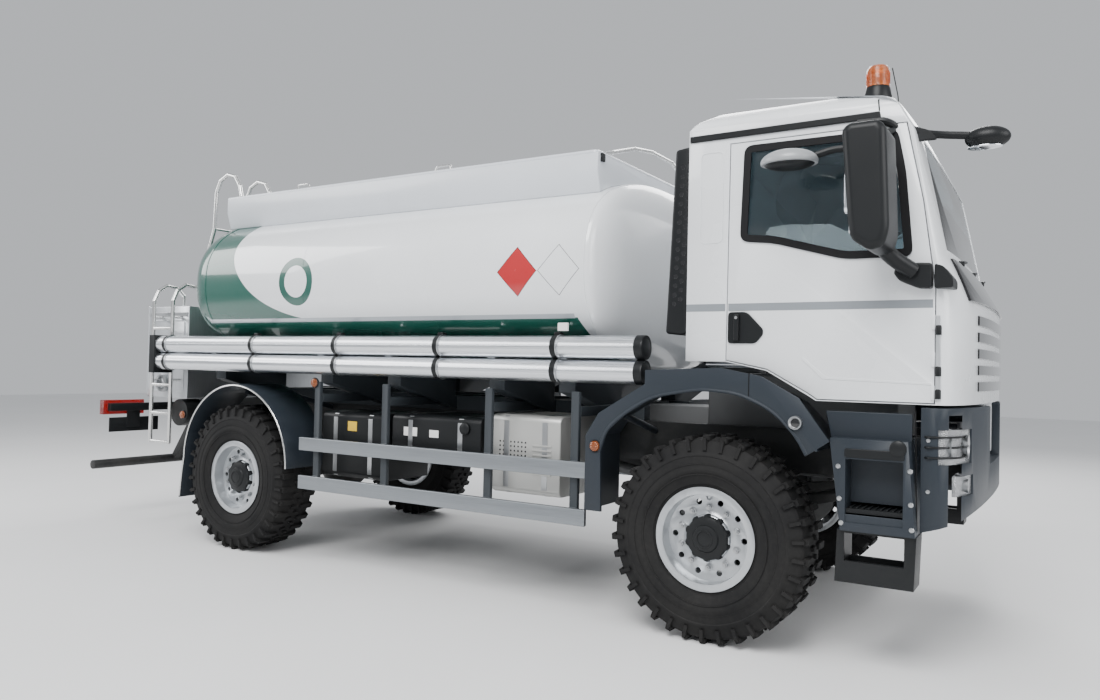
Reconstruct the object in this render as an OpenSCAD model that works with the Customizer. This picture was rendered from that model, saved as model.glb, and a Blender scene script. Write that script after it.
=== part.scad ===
// Two-axle all-terrain tanker truck: forward-control tilting cab, oval tank with a
// walkway trough, side hose tubes, rear pump cabinet and ladders.
// Millimetres. Inside the modules x = 0 is the front axle, y = 0 the centre line and
// z = 0 the ground; place() then shifts the truck so that its length is centred.

/* [Chassis] */
// Distance between the two axles
wheelbase = 3900; // [3500:50:4700]
// Width over the two frame rails
frame_w = 860; // [800:10:880]
// Height of the frame's top face above the ground
frame_top = 1140; // [1120:10:1180]

/* [Wheels] */
// Outer diameter of the tyres
tyre_d = 1130; // [1040:10:1140]
// Width of the tyres
tyre_w = 365; // [305:5:375]
// Distance between the left and right tyre centres
track = 2070; // [2040:10:2080]

/* [Cab] */
// Width over the cab's doors
cab_w = 2240; // [2100:10:2300]
// Height of the cab roof's edge above the ground
cab_roof = 2870; // [2750:10:3000]
// Thickness of the cab's walls
cab_wall = 70; // [60:5:80]

/* [Tank] */
// Width of the tank
tank_w = 2390; // [2200:10:2500]
// Height of the tank's oval section
tank_h = 1280; // [1100:10:1300]
// Height of the tank's axis above the ground
tank_axis_z = 2107; // [2100:1:2140]
// Width over the walls of the walkway trough
trough_w = 1860; // [1400:20:1960]

/* [Body] */
// Outer diameter of a hose tube
hose_tube_d = 140; // [110:5:140]
// Width of the rear pump cabinet
cabinet_w = 1900; // [1500:20:2100]
// Height of the rear pump cabinet
cabinet_h = 810; // [700:10:860]

/* [Hidden] */
$fn = 48;

// Places along the truck, measured from the front axle
front_end = 1440;
rear_end = -wheelbase - 2000;
shift_x = -(front_end + rear_end) / 2;
rear_x = -wheelbase;
axle_z = tyre_d / 2;
wheel_y = track / 2;
gap = 6;
// Clearance between two pieces that rest on each other
seat_gap = 0.3;

// Chassis
rail_h = 260;
rail_flange = 80;
rail_t = 9;
rail_bottom = frame_top - rail_h;
rail_front = 1180;
rail_rear = rear_x - 1700;
rail_y = frame_w / 2;
spring_y = rail_y - rail_flange / 2;
axle_r = 68;
hub_y = wheel_y - 205;
kingpin_r = 22;
spindle_r = 60;
spindle_end = wheel_y + 78;
diff_x = 170;
// Cross members: place, and height of their underside above the rails' lower edge
cross_members = [[1100, 30], [-1050, 170], [rear_x + 1500, 30], [rear_x + 650, 30], [rear_x - 800, 30]];

// Tank
tank_front = -790;
tank_rear = rear_x - 430;
tank_a = tank_w / 2;
tank_b = tank_h / 2;
tank_n = 2.45;
dish_front = 150;
dish_rear = 535;
trough_front = tank_front - 60;
trough_rear = rear_x - 530;
trough_top = tank_axis_z + tank_b + 100;
trough_t = 30;
// The trough's walls lean in below this height, by fold_in at their foot
fold_z = trough_top - 120;
fold_in = 75;
manhole_x = rear_x + 1500;
manhole_r = 250;
lid_t = 28;
collar_top = tank_axis_z + tank_b + 72;

// Body along the sides
guard_y = 1200;
post_xs = [rear_x + 870, rear_x + 1535, -1480, -840];
saddle_xs = [rear_x - 350, rear_x + 870, rear_x + 1535, -1480, -950];
tube_r = hose_tube_d / 2;
tube_y = 1150;
tube_low_z = 1464;
tube_zs = [tube_low_z, tube_low_z + hose_tube_d + 4];
tube_front = -425;
tube_rear = rear_x - 1050;
// Distance of the lower ladder from the centre line
ladder_y = 1035;

// Cab
cab_rear = -156;
cab_y = cab_w / 2;
cab_floor = 1340;
arch_floor = 1535;
tunnel_y = 380;
tunnel_top = 1560;
door_t = 50;
door_hinge_x = 1125;
belt_z = 1860;
screen_z = 2080;
header_z = 2700;
// Side and centre positions of the cab's front face at five heights
cab_slices = [
    [cab_floor, 1145, 1318], [belt_z, 1145, 1314], [screen_z, 1126, 1188],
    [header_z, 1021, 1042], [cab_roof, 930, 960]
];

// Rear cabinet
cabinet_front = rear_x - 975;
cabinet_rear = rear_x - 1550;
cabinet_z = frame_top;
// Lower edge of the cabinet's lifting door, above the frame
door_sill = frame_top + 10;
sheet = 20;

// ---------- helpers ----------

module place() { translate([shift_x, 0, 0]) children(); }

module both_sides() {
    children();
    mirror([0, 1, 0]) children();
}

// A box between two opposite corners
module block(lo, hi) { translate(lo) cube(hi - lo); }

// A solid drawn in x and z and reaching from y0 to y1
module side_plate(y0, y1) {
    translate([0, y1, 0]) rotate([90, 0, 0]) linear_extrude(y1 - y0) children();
}

// A solid drawn in y and z and reaching from x0 to x1
module cross_plate(x0, x1) {
    translate([x0, 0, 0]) rotate([90, 0, 90]) linear_extrude(x1 - x0) children();
}

module rod(p, q, r) {
    v = q - p;
    translate(p) rotate([0, acos(v[2] / norm(v)), atan2(v[1], v[0])]) cylinder(h = norm(v), r = r);
}

// A round tube through a list of points, with ball corners
module bent_tube(points, r) {
    for (i = [0 : len(points) - 2]) rod(points[i], points[i + 1], r);
    for (i = [1 : len(points) - 2]) translate(points[i]) sphere(1.03 * r);
}

// The point i of a line moved sideways by d
function beside(points, i, d) =
    let (v = points[min(i + 1, len(points) - 1)] - points[max(i - 1, 0)])
    points[i] + d * [-v[1], v[0]] / norm(v);

// A strip of sheet of thickness t along a line of 2D points
module strip(points, t) {
    last = len(points) - 1;
    polygon(concat([for (i = [0 : last]) beside(points, i, t / 2)],
                   [for (i = [last : -1 : 0]) beside(points, i, -t / 2)]));
}

function arc(c, r, a0, a1, n) = [for (i = [0 : n]) let (a = a0 + (a1 - a0) * i / n) c + r * [cos(a), sin(a)]];

// ---------- chassis ----------

module rail() {
    difference() {
        block([rail_rear, rail_y - rail_flange, rail_bottom], [rail_front, rail_y, frame_top]);
        block([rail_rear - 1, rail_y - rail_flange - 1, rail_bottom + rail_t],
              [rail_front + 1, rail_y - rail_t, frame_top - rail_t]);
    }
}

coupling_hole_r = 10.5;
coupling_dy = 160;
coupling_dz = 100;

module end_plate() {
    x0 = rail_rear;
    difference() {
        block([x0 - 16, -rail_y, rail_bottom], [x0, rail_y, frame_top]);
        for (y = [-1, 1], z = [-1, 1])
            translate([x0 - 20, y * coupling_dy / 2, (rail_bottom + frame_top) / 2 + z * coupling_dz / 2])
                rotate([0, 90, 0]) cylinder(h = 40, r = coupling_hole_r);
    }
}

module frame_rails() {
    web = rail_y - rail_t;
    color("#23262a") {
        both_sides() rail();
        end_plate();
        for (m = cross_members)
            block([m[0] - 50, -web, rail_bottom + m[1]], [m[0] + 50, web, frame_top - 30]);
    }
}

module axle_half(y_end) {
    rod([0, 0, axle_z], [0, y_end, axle_z], axle_r);
    translate([-70, spring_y - 45, axle_z]) cube([140, 90, axle_r + 18]);
}

module axles() {
    yoke_x = 60;
    color("#2b2d30") {
        both_sides() {
            // front half: yoke around the knuckle, with the kingpin through it
            axle_half(hub_y - 95);
            block([-yoke_x, hub_y - 150, axle_z - 165], [yoke_x, hub_y - 75, axle_z + 165]);
            for (s = [-1, 1]) translate([0, 0, axle_z + s * 145])
                block([-kingpin_r - 16, hub_y - 100, -20], [kingpin_r + 16, hub_y + 30, 20]);
            translate([0, hub_y, axle_z - 140]) cylinder(h = 280, r = kingpin_r);
            // rear half: brake drum and spindle
            translate([rear_x, 0, 0]) {
                axle_half(hub_y);
                rod([0, wheel_y - 190, axle_z], [0, wheel_y - 60, axle_z], 205);
                rod([0, hub_y - 1, axle_z], [0, spindle_end, axle_z], spindle_r);
            }
        }
        for (x = [0, rear_x]) translate([x, 0, axle_z]) intersection() {
            sphere(215);
            block([-diff_x, -200, -215], [diff_x, 200, 215]);
        }
    }
}

// One curved leaf pack, its ends hung below the rail
module leaf_pack() {
    camber = 150;
    half = 700;
    r = (half * half + camber * camber) / (2 * camber);
    low = axle_z + axle_r + 18;
    intersection() {
        side_plate(spring_y - 40, spring_y + 40) translate([0, low + r]) difference() {
            circle(r, $fn = 96);
            circle(r - 70, $fn = 96);
        }
        block([-half, spring_y - 50, low - 5], [half, spring_y + 50, low + camber + 60]);
    }
    for (s = [-1, 1]) block([s * half - 45, spring_y - 36, low + camber - 90],
                            [s * half + 45, spring_y + 36, rail_bottom]);
}

module leaf_springs() {
    color("#1d1f22") for (x = [0, rear_x]) translate([x, 0, 0]) both_sides() leaf_pack();
}

module engine() {
    y = rail_y - rail_flange - 30;
    color("#6f7478") block([-330, -y, 850], [840, y, 1470]);
}

module driveline() {
    case_x = -1650;
    color("#55595d") {
        block([-860, -200, 870], [-330, 200, 1240]);
        block([case_x - 190, -230, 720], [case_x + 190, 230, 1060]);
        rod([-860, 0, 980], [case_x + 190, 0, 960], 55);
        // shafts to the two axles, cut off at the faces of their housings
        difference() {
            union() {
                rod([case_x - 190, 0, 850], [rear_x + 150, 0, axle_z + 20], 50);
                rod([case_x + 190, 120, 800], [-150, 60, axle_z + 20], 42);
            }
            for (x = [0, rear_x])
                block([x - diff_x, -200, axle_z - 200], [x + diff_x, 200, axle_z + 200]);
        }
    }
}

module air_tanks() {
    r = 118;
    z = cabinet_z - r - 12;
    color("#2c3136") both_sides() {
        rod([rear_x - 1150, 560, z], [rear_x - 1150, 900, z], r);
        block([rear_x - 1170, rail_y, z - 50], [rear_x - 1130, 570, z + 50]);
    }
}

// ---------- boxes and tanks along the frame ----------

module hung_box(x0, x1, y_out, z0, z1) {
    r = 45;
    y_in = 560;
    w = y_out - y_in;
    h = z1 - z0;
    translate([0, y_in, z0]) cross_plate(x0, x1) {
        square([w - r, h]);
        translate([0, r]) square([w, h - 2 * r]);
        for (z = [r, h - r]) translate([w - r, z]) circle(r);
    }
    for (k = [0.2, 0.8]) let (x = x0 + k * (x1 - x0))
        block([x - 25, rail_y, z1 - 190], [x + 25, y_in + 5, z1 - 60]);
}

module fuel_tanks() {
    color("#b9bec2") mirror([0, 1, 0]) {
        hung_box(-2390, -1615, 1060, 860, 1135);
        hung_box(rear_x + 810, rear_x + 1430, 1050, 640, 1120);
    }
}

module silencer() {
    color("#a9adb0") mirror([0, 1, 0]) hung_box(-1515, -995, 1070, 670, 1175);
}

module storage_boxes() {
    color("#2a2d31") {
        hung_box(-1950, -995, 1060, 680, 1120);
        hung_box(rear_x + 810, -2120, 1050, 660, 1120);
    }
}

module side_guards() {
    x0 = rear_x + 720;
    x1 = -745;
    y = guard_y;
    both_sides() {
        color("#9a9fa4") for (z = [[545, 645], [828, 925]])
            block([x0, y - 30, z[0]], [x1, y, z[1]]);
        color("#2a2d31") for (x = post_xs)
            block([x - 28, y - 62, 545], [x + 28, y - 30, frame_top + 200]);
    }
}

// ---------- front end ----------

bumper_front = 1325;
// The cab's tilt axis, its pins and the lugs on them
tilt_x = 1235;
tilt_z = 1070;
tilt_pin_r = 20;
lug_y = rail_y - 120;
intake_y = rail_y - 80;
// Lamp pockets in the bumper: lowest and highest corners
head_lamp = [[1150, cab_y - 290, 1050], [1400, cab_y + 60, 1220]];
fog_lamp = [[1200, cab_y - 320, 890], [1400, cab_y - 120, 990]];

// The front's plan: straight sides to x_side, then an oval nose to x_front
function nose(x_side, x_front, half_w, n) =
    [for (i = [-n : n]) let (a = 90 * i / n, s = sign(a), c = cos(a), d = abs(sin(a)))
        [x_side + (x_front - x_side) * pow(c, 0.9), s * half_w * pow(d, 0.9)]];

module bumper_solid(inset) {
    plan = concat([[1074, cab_y - inset], [1074, -cab_y + inset]],
                  nose(1130 - inset, bumper_front - inset, cab_y - inset, 12));
    intersection() {
        translate([0, 0, 700]) linear_extrude(625) polygon(plan);
        side_plate(-1300, 1300) polygon([[1040, 718], [1074, 718], [1240, 770], [1340, 830],
            [1340, 1270], [1315, 1325], [1040, 1325]]);
    }
}

module front_bumper() {
    color("#2b3138") {
        difference() {
            bumper_solid(0);
            translate([-60, 0, 0]) block([1050, -cab_y + 45, 690], [1300, cab_y - 45, 1290]);
            for (pocket = [head_lamp, fog_lamp]) both_sides() block(pocket[0], pocket[1]);
            // the radiator intake, which the cab's hinge lugs swing through
            block([1000, -intake_y, tilt_z - 65], [1400, intake_y, 1400]);
        }
        both_sides() {
            block([cross_members[0][0] + 50, rail_y - 70, 930], [tilt_x + 40, rail_y - 10, tilt_z + 40]);
            rod([tilt_x, lug_y - 30, tilt_z], [tilt_x, rail_y - 60, tilt_z], tilt_pin_r);
        }
    }
}

module lamps() {
    color("#dfe6ea") both_sides() {
        intersection() {
            bumper_solid(8);
            union() {
                block(head_lamp[0], head_lamp[1]);
                block(fog_lamp[0], fog_lamp[1]);
            }
        }
    }
    // rear lamp clusters on their carrier
    color("#b3201c") both_sides() block([rear_x - 1870, 810, 970], [rear_x - 1810, 1200, 1100]);
    color("#202225") {
        block([rear_x - 1810, -1160, 1000], [rear_x - 1760, 1160, 1070]);
        block([rear_x - 1822, -1140, 810], [rear_x - 1810, -660, 940]);
        block([rear_x - 1810, -980, 850], [rear_x - 1790, -860, 1000]);
    }
}

module entry_steps() {
    y_out = 1205;
    color("#2b3138") both_sides() {
        difference() {
            side_plate(800, y_out) polygon([[663, 1145], [718, 703], [1066, 703], [1030, 1160], [663, 1160]]);
            block([740, 900, 745], [1010, y_out + 1, 1060]);
        }
        block([730, 895, 790], [1020, y_out - 25, 812]);
        // hanging lower step
        difference() {
            side_plate(y_out - 200, y_out - 20) polygon([[700, 704], [690, 444], [1060, 444], [1070, 704]]);
            block([735, y_out - 230, 550], [1015, y_out, 690]);
            block([735, y_out - 170, 474], [1015, y_out - 50, 720]);
        }
        block([1030, rail_y, 960], [1066, 805, 1040]);
        block([760, rail_y, 960], [800, 805, 1040]);
    }
}

fender_front_arch = [[600, 1085], [560, 1190], [440, 1320], [305, 1395], [180, 1430], [-28, 1440],
    [-250, 1425], [-361, 1370], [-640, 1205], [-727, 1080], [-727, 650]];

// A round stay that ends flat on the rail's outer face
module stay(p, q) {
    difference() {
        rod(p - 0.1 * (q - p), q, 22);
        block([p[0] - 30, rail_y - 100, p[2] - 100], [p[0] + 30, rail_y, p[2] + 100]);
    }
}

module fenders() {
    y_in = 800;
    y_out = 1215;
    color("#2b3138") both_sides() {
        side_plate(y_in, y_out) strip(fender_front_arch, 12);
        side_plate(y_out - 20, y_out) polygon([[663, 1140], [505, 1352], [305, 1460], [83, 1500],
            [-361, 1480], [-361, 1400], [-655, 1222], [-738, 1090], [-738, 650], [-630, 650], [-640, 1000],
            [-600, 1120], [-480, 1225], [-311, 1325], [-28, 1375], [183, 1359], [369, 1276], [491, 1149],
            [543, 1057]]);
        for (x = [-650, 420]) stay([x, rail_y, 1080], [x, y_in + 100, 1080 + (x > 0 ? 245 : 120)]);
        // rear arch and mudflap
        translate([rear_x, 0, 0]) {
            side_plate(830, 1220)
                strip(concat(arc([0, 680], 612, 0, 180, 24), [[-630, 560], [-655, 350]]), 14);
            for (x = [-250, 250]) stay([x, rail_y, 1110], [x, 900, 1225]);
        }
    }
}

// ---------- tank ----------

function oval(a, b, z, n) = [for (i = [0 : n - 1]) let (t = 360 * i / n, c = cos(t), s = sin(t))
    [a * sign(c) * pow(abs(c), 2 / tank_n), z + b * sign(s) * pow(abs(s), 2 / tank_n)]];

// Domed end: slices of the oval, each smaller than the last
module tank_end(x0, depth, dir, power) {
    slices = [for (i = [0 : 7]) let (t = sin(90 * i / 7)) [t, pow(1 - pow(t, power), 1 / power)]];
    hull() for (s = slices) {
        k = max(s[1], 0.25);
        translate([x0 + dir * depth * s[0], 0, 0])
            cross_plate(-0.5, 0.5) polygon(oval(tank_a * k, tank_b * k, tank_axis_z, 72));
    }
}

module tank_vessel() {
    color("#eef0f1") {
        cross_plate(tank_rear, tank_front) polygon(oval(tank_a, tank_b, tank_axis_z, 72));
        tank_end(tank_front, dish_front, 1, 2.4);
        tank_end(tank_rear, dish_rear, -1, 2.8);
    }
}

// Everything above the tank's skin inside a given 2D outline
module above_tank(x0, x1) {
    cross_plate(x0, x1) difference() {
        children();
        polygon(oval(tank_a, tank_b, tank_axis_z, 72));
    }
}

module tank_coaming() {
    y = trough_w / 2;
    base = tank_axis_z + tank_b - 260;
    color("#e8eaeb") {
        above_tank(trough_rear + trough_t, trough_front - trough_t) for (s = [-1, 1])
            polygon([[s * y, trough_top], [s * y, fold_z], [s * (y - fold_in), base],
                     [s * (y - fold_in - trough_t), base], [s * (y - trough_t), fold_z],
                     [s * (y - trough_t), trough_top]]);
        for (x = [trough_rear, trough_front - trough_t])
            above_tank(x, x + trough_t) polygon([[-y, trough_top], [-y, fold_z], [-y + fold_in, base],
                                                 [y - fold_in, base], [y, fold_z], [y, trough_top]]);
        // manhole collar
        difference() {
            above_tank(manhole_x - manhole_r - 30, manhole_x + manhole_r + 30)
                translate([-manhole_r - 30, base]) square([2 * manhole_r + 60, collar_top - base]);
            difference() {
                block([manhole_x - 400, -400, base - 10], [manhole_x + 400, 400, collar_top + 10]);
                translate([manhole_x, 0, base - 20]) cylinder(h = 600, r = manhole_r + 25);
            }
            translate([manhole_x, 0, base - 20]) cylinder(h = 600, r = manhole_r);
        }
    }
}

module manhole_lid() {
    z = collar_top + seat_gap;
    hinge_x = manhole_x - manhole_r - 55;
    color("#b9bec2") {
        translate([manhole_x, 0, z]) cylinder(h = lid_t, r = manhole_r + 25);
        block([hinge_x, -50, z], [manhole_x - manhole_r, 50, z + lid_t]);
        rod([hinge_x, -60, z + lid_t / 2], [hinge_x, 60, z + lid_t / 2], lid_t / 2 + 2);
    }
}

module tank_cradle() {
    y = rail_y;
    color("#1f5a4d") {
        both_sides() block([tank_rear - 250, y - 90, frame_top], [tank_front + 60, y, frame_top + 110]);
        for (x = saddle_xs) cross_plate(x - 60, x + 60) difference() {
            polygon([[-1080, 1640], [-1080, 1330], [-y, frame_top + 10], [y, frame_top + 10],
                     [1080, 1330], [1080, 1640], [940, 1700], [-940, 1700]]);
            polygon(oval(tank_a, tank_b, tank_axis_z, 72));
            translate([0, 1500]) square([900, 500], center = true);
        }
    }
    color("#1f5a4d") for (x = post_xs) both_sides()
        block([x - 28, y - 5, frame_top + 50], [x + 28, guard_y - 62, frame_top + 110]);
}

module hose_tubes() {
    color("#c9cdd0") both_sides() {
        for (z = tube_zs) rod([tube_rear, tube_y, z], [tube_front, tube_y, z], tube_r);
        for (x = saddle_xs)
            block([x - 30, 1080, tube_low_z - tube_r], [x + 30, tube_y, tube_low_z + 3 * tube_r]);
    }
    color("#17191b") both_sides() {
        block([tube_rear - 60, tube_y - tube_r - 20, tube_low_z - tube_r - 30],
              [tube_rear + 10, tube_y + tube_r + 10, tube_low_z + 3 * tube_r + 10]);
        for (z = tube_zs)
            rod([tube_front - 10, tube_y, z], [tube_front + 40, tube_y, z], tube_r + 1);
    }
}

// ---------- rear end ----------

module ladder() {
    r = 17;
    side = ladder_y;
    top = cabinet_z + cabinet_h;
    lx = [rear_x - 1354, rear_x - 1083];
    // the upper ladder stands on the cabinet and leans over the tank's end
    ux = rear_x - 860;
    foot = cabinet_front - 20;
    uy = [-800, -480];
    color("#c3c7ca") {
        difference() {
            for (x = lx) bent_tube([[x, -side, 750], [x, -side, 1990], [x, -side + 40, 2085],
                [x, -side + 120, 2140], [x, -side + 220, 2130], [x, -side + 290, 2060],
                [x, -side + 300, top - 20]], r);
            block([cabinet_rear, -cabinet_w / 2, cabinet_z], [cabinet_front, 0, top]);
        }
        for (z = [757, 1006, 1254, 1503, 1751]) rod([lx[0], -side, z], [lx[1], -side, z], 13);
        for (x = lx, z = [1300, 1850]) rod([x, -side, z], [x, -cabinet_w / 2, z], 13);
        // its hoops reach down to the top of the trough's rear wall
        for (y = uy) bent_tube([[foot, y, top], [foot, y, 2300], [ux - 5, y, 2640], [ux + 10, y, 2960],
            [ux + 60, y, 3060], [ux + 160, y, 3105], [ux + 260, y, 3075], [ux + 320, y, 2990],
            [trough_rear + trough_t / 2, y, trough_top + 50], [trough_rear + trough_t / 2, y, trough_top]], r);
        for (p = [[foot, 2060], [foot, 2290], [ux - 5, 2640]])
            rod([p[0], uy[0], p[1]], [p[0], uy[1], p[1]], 13);
    }
    // grab rail on the trough's front wall
    gx = trough_front - trough_t / 2;
    color("#c3c7ca") difference() {
        bent_tube([[gx, -trough_w / 2 + 20, trough_top - 20], [gx, -700, 2893], [gx, -380, 2990],
            [gx, -100, 3030], [gx, 250, 3030], [gx, 360, 2990], [gx, 400, trough_top - 20]], 14);
        block([gx - 40, -trough_w / 2 - 20, trough_top - 100], [gx + 40, trough_w / 2, trough_top]);
    }
}

module rear_cabinet() {
    y = cabinet_w / 2;
    top = cabinet_z + cabinet_h;
    color("#d9dcde") {
        difference() {
            block([cabinet_rear, -y, cabinet_z], [cabinet_front, y, top]);
            block([cabinet_rear - 1, -y + sheet, cabinet_z + sheet],
                  [cabinet_front - sheet, y - sheet, top - sheet]);
        }
    }
}

module cabinet_door() {
    y = cabinet_w / 2;
    x1 = cabinet_rear - seat_gap;
    top = cabinet_z + cabinet_h;
    color("#d9dcde") {
        block([x1 - sheet, -y, door_sill + 6], [x1, y, top]);
        rod([x1 - sheet / 2, -y, top], [x1 - sheet / 2, y, top], sheet / 2);
    }
}

module underrun_bar() {
    x = rear_x - 1955;
    z = 510;
    color("#202225") {
        rod([x, -1200, z], [x, 1200, z], 40);
        both_sides() side_plate(rail_y - 90, rail_y - 20)
            polygon([[x - 20, z], [x + 40, z], [rail_rear + 160, rail_bottom], [rail_rear - 10, rail_bottom]]);
        both_sides() block([rear_x - 1760, rail_y - 90, 980], [rail_rear - 16, rail_y - 20, 1070]);
    }
}

// ---------- cab ----------

function cab_plan(side_x, front_x, inset) =
    concat([[cab_rear + inset, cab_y - inset], [cab_rear + inset, -cab_y + inset]],
           nose(side_x - inset, front_x - inset, cab_y - inset, 12));

module cab_slice(s, z, inset) {
    translate([0, 0, z]) linear_extrude(1) polygon(cab_plan(s[1], s[2], inset));
}

// The cab's outer form, or the same form moved inwards
module cab_form(inset) {
    hull() {
        cab_slice(cab_slices[0], cab_slices[0][0] + inset, inset);
        cab_slice(cab_slices[1], cab_slices[1][0], inset);
        cab_slice(cab_slices[2], cab_slices[2][0], inset);
    }
    hull() {
        cab_slice(cab_slices[2], cab_slices[2][0], inset);
        cab_slice(cab_slices[3], cab_slices[3][0], inset);
        cab_slice(cab_slices[4], cab_slices[4][0] - inset, inset);
        translate([0, 0, cab_roof + 80 - inset]) linear_extrude(1)
            polygon(cab_plan(760, 800, inset + 130));
    }
}

door_outline = [[83, 1545], [310, 1500], [525, 1382], [575, 1350], [door_hinge_x + 5, 1350],
    [door_hinge_x + 5, 1900], [1104, 2090], [1070, 2340], [990, 2732], [90, 2732]];

window_outline = [[190, 2676], [172, 2215], [330, 2190], [700, 2095], [985, 2090], [968, 2383], [912, 2676]];

// The floor's underside: raised over the wheels and the engine
module below_floor() {
    block([cab_rear - 10, -cab_y - 5, cab_floor - 10], [80, cab_y + 5, arch_floor]);
    side_plate(-cab_y - 5, cab_y + 5)
        polygon([[79, 1300], [79, arch_floor], [305, 1490], [517, 1371], [570, 1339], [570, 1300]]);
    block([cab_rear - 10, -tunnel_y, cab_floor - 10], [950, tunnel_y, tunnel_top]);
}

module cab_inside() {
    difference() {
        cab_form(cab_wall);
        block([cab_rear, -cab_y, cab_floor], [620, cab_y, arch_floor + cab_wall]);
        block([cab_rear, -tunnel_y - cab_wall, cab_floor],
              [950 + cab_wall, tunnel_y + cab_wall, tunnel_top + cab_wall]);
    }
}

module door_cut() {
    side_plate(-cab_y - 5, -cab_y + door_t + seat_gap) offset(delta = gap) polygon(door_outline);
}

module screen_region() {
    y = cab_y - 190;
    cross_plate(900, 1300) polygon([[-y, 2115], [y, 2115], [y - 30, 2690], [-y + 30, 2690]]);
}

module cab_shell() {
    color("#eef0f1") {
        difference() {
            cab_form(0);
            cab_inside();
            below_floor();
            door_cut();
            mirror([0, 1, 0]) door_cut();
            side_plate(-cab_y - 5, cab_y + 5) offset(delta = -50) polygon(door_outline);
            screen_region();
        }
        // mounting lugs on the tilt axis
        for (s = [-1, 1]) side_plate(s * lug_y - 25, s * lug_y + 25) difference() {
            polygon([[tilt_x - 40, 1345], [tilt_x - 40, tilt_z - 40],
                     [tilt_x + 40, tilt_z - 40], [tilt_x + 40, 1345]]);
            translate([tilt_x, tilt_z]) circle(tilt_pin_r + 0.4);
        }
    }
}

module front_panel() {
    color("#101214") difference() {
        intersection() {
            translate([14, 0, 0]) cab_form(0);
            block([1100, -cab_y + 220, belt_z], [1400, cab_y - 220, screen_z - 5]);
        }
        cab_form(0);
    }
}

module windscreen() {
    color("#4a5a63", 0.6) intersection() {
        difference() {
            cab_form(4);
            cab_form(14);
        }
        screen_region();
    }
}

dash_x = 900;
dash_top = 1990;

module dashboard() {
    color("#33363a") intersection() {
        union() {
            block([dash_x, -cab_y, 1700], [1300, cab_y, dash_top]);
            block([dash_x + 60, -400, 1640], [1300, 400, 1710]);
        }
        cab_form(cab_wall + seat_gap);
    }
}

wheel_tilt = 35;
steer_x = 800;
steer_y = 560;
steer_z = 1990;

module steering_wheel() {
    color("#202225") translate([steer_x, steer_y, steer_z]) rotate([0, -wheel_tilt, 0]) {
        rotate_extrude() translate([215, 0]) circle(16);
        cylinder(h = 30, r = 60);
        for (a = [90, 210, 330]) rotate(a) block([0, -18, -8], [210, 18, 8]);
    }
    // the column ends on the dashboard
    color("#202225") difference() {
        translate([steer_x, steer_y, steer_z]) rotate([0, -wheel_tilt, 0])
            translate([0, 0, -220]) cylinder(h = 225, r = 28);
        block([dash_x, steer_y - 60, 1600], [dash_x + 200, steer_y + 60, dash_top]);
    }
}

module seats() {
    color("#2f3338") for (y = [-steer_y, steer_y]) translate([0, y, 0]) {
        block([150, -170, arch_floor + cab_wall], [600, 170, 1690]);
        block([130, -250, 1680], [650, 250, 1810]);
        translate([160, 0, 1800]) rotate([0, -12, 0]) block([-100, -245, -60], [20, 245, 560]);
        translate([160, 0, 1800]) rotate([0, -12, 0]) block([-90, -130, 550], [0, 130, 760]);
    }
}

module front_mirror() {
    y = -cab_y + 170;
    color("#17191b") {
        side_plate(y - 60, y + 75)
            polygon([[1230, 2610], [1425, 2600], [1440, 2650], [1400, 2718], [1250, 2722]]);
        bent_tube([[1300, y - 8, 2680], [1125, y - 40, 2705], [985, y - 140, 2735]], 22);
    }
}

module beacon() {
    color("#17191b") difference() {
        translate([755, -600, cab_roof + 20]) cylinder(h = 120, r1 = 80, r2 = 70);
        cab_form(0);
    }
    color("#e8741a") translate([755, -600, cab_roof + 140]) cylinder(h = 210, r = 62);
}

module air_intake() {
    color("#17191b") {
        side_plate(-cab_y + 20, -cab_y + 170)
            polygon([[cab_rear, 2757], [-250, 2745], [-294, 1690], [-187, 1680], [cab_rear, 1700]]);
    }
}

// ---------- doors ----------

module door_solid() {
    color("#eef0f1") difference() {
        side_plate(-cab_y, -cab_y + door_t) polygon(door_outline);
        side_plate(-cab_y - 5, -cab_y + door_t + 5) polygon(window_outline);
    }
    // hinge barrels on the door's axis
    color("#eef0f1") for (z = [1400, 1560, 1740])
        translate([door_hinge_x, -cab_y, z - 35]) cylinder(h = 70, r = 9);
}

module door_pane() {
    color("#3c4a52", 0.6) side_plate(-cab_y + 12, -cab_y + 22) polygon(window_outline);
}

module mirror_solid(kerb) {
    y = -cab_y;
    color("#17191b") {
        side_plate(y - 425, y - 105) polygon([[770, 2640], [965, 2650], [975, 2060], [890, 2040], [800, 2080]]);
        side_plate(y - 62, y) polygon([[945, 1930], [1010, 2030], [1100, 2030], [1100, 1905], [980, 1900]]);
        bent_tube([[1050, y - 40, 2000], [920, y - 140, 2090], [900, y - 160, 2150]], 30);
        difference() {
            bent_tube([[930, y + 20, 2702], [900, y - 60, 2702], [870, y - 150, 2620]], 18);
            block([800, y, 2600], [1050, y + 60, 2800]);
        }
        if (kerb) {
            block([345, y - 370, 2490], [625, y - 140, 2600]);
            rod([620, y - 180, 2590], [790, y - 180, 2590], 16);
        }
    }
}

// ---------- wheels ----------

module knuckle() {
    y0 = hub_y;
    color("#3a3d40") difference() {
        union() {
            translate([0, y0, axle_z - 118]) cylinder(h = 236, r = 60);
            rod([0, y0, axle_z], [0, spindle_end, axle_z], spindle_r);
            rod([0, wheel_y - 150, axle_z], [0, wheel_y - 60, axle_z], 205);
            block([-190, y0 - 25, axle_z - 40], [0, y0 + 25, axle_z]);
        }
        translate([0, y0, axle_z - 130]) cylinder(h = 260, r = kingpin_r + 0.4);
    }
}

bead_r = 256;

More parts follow.
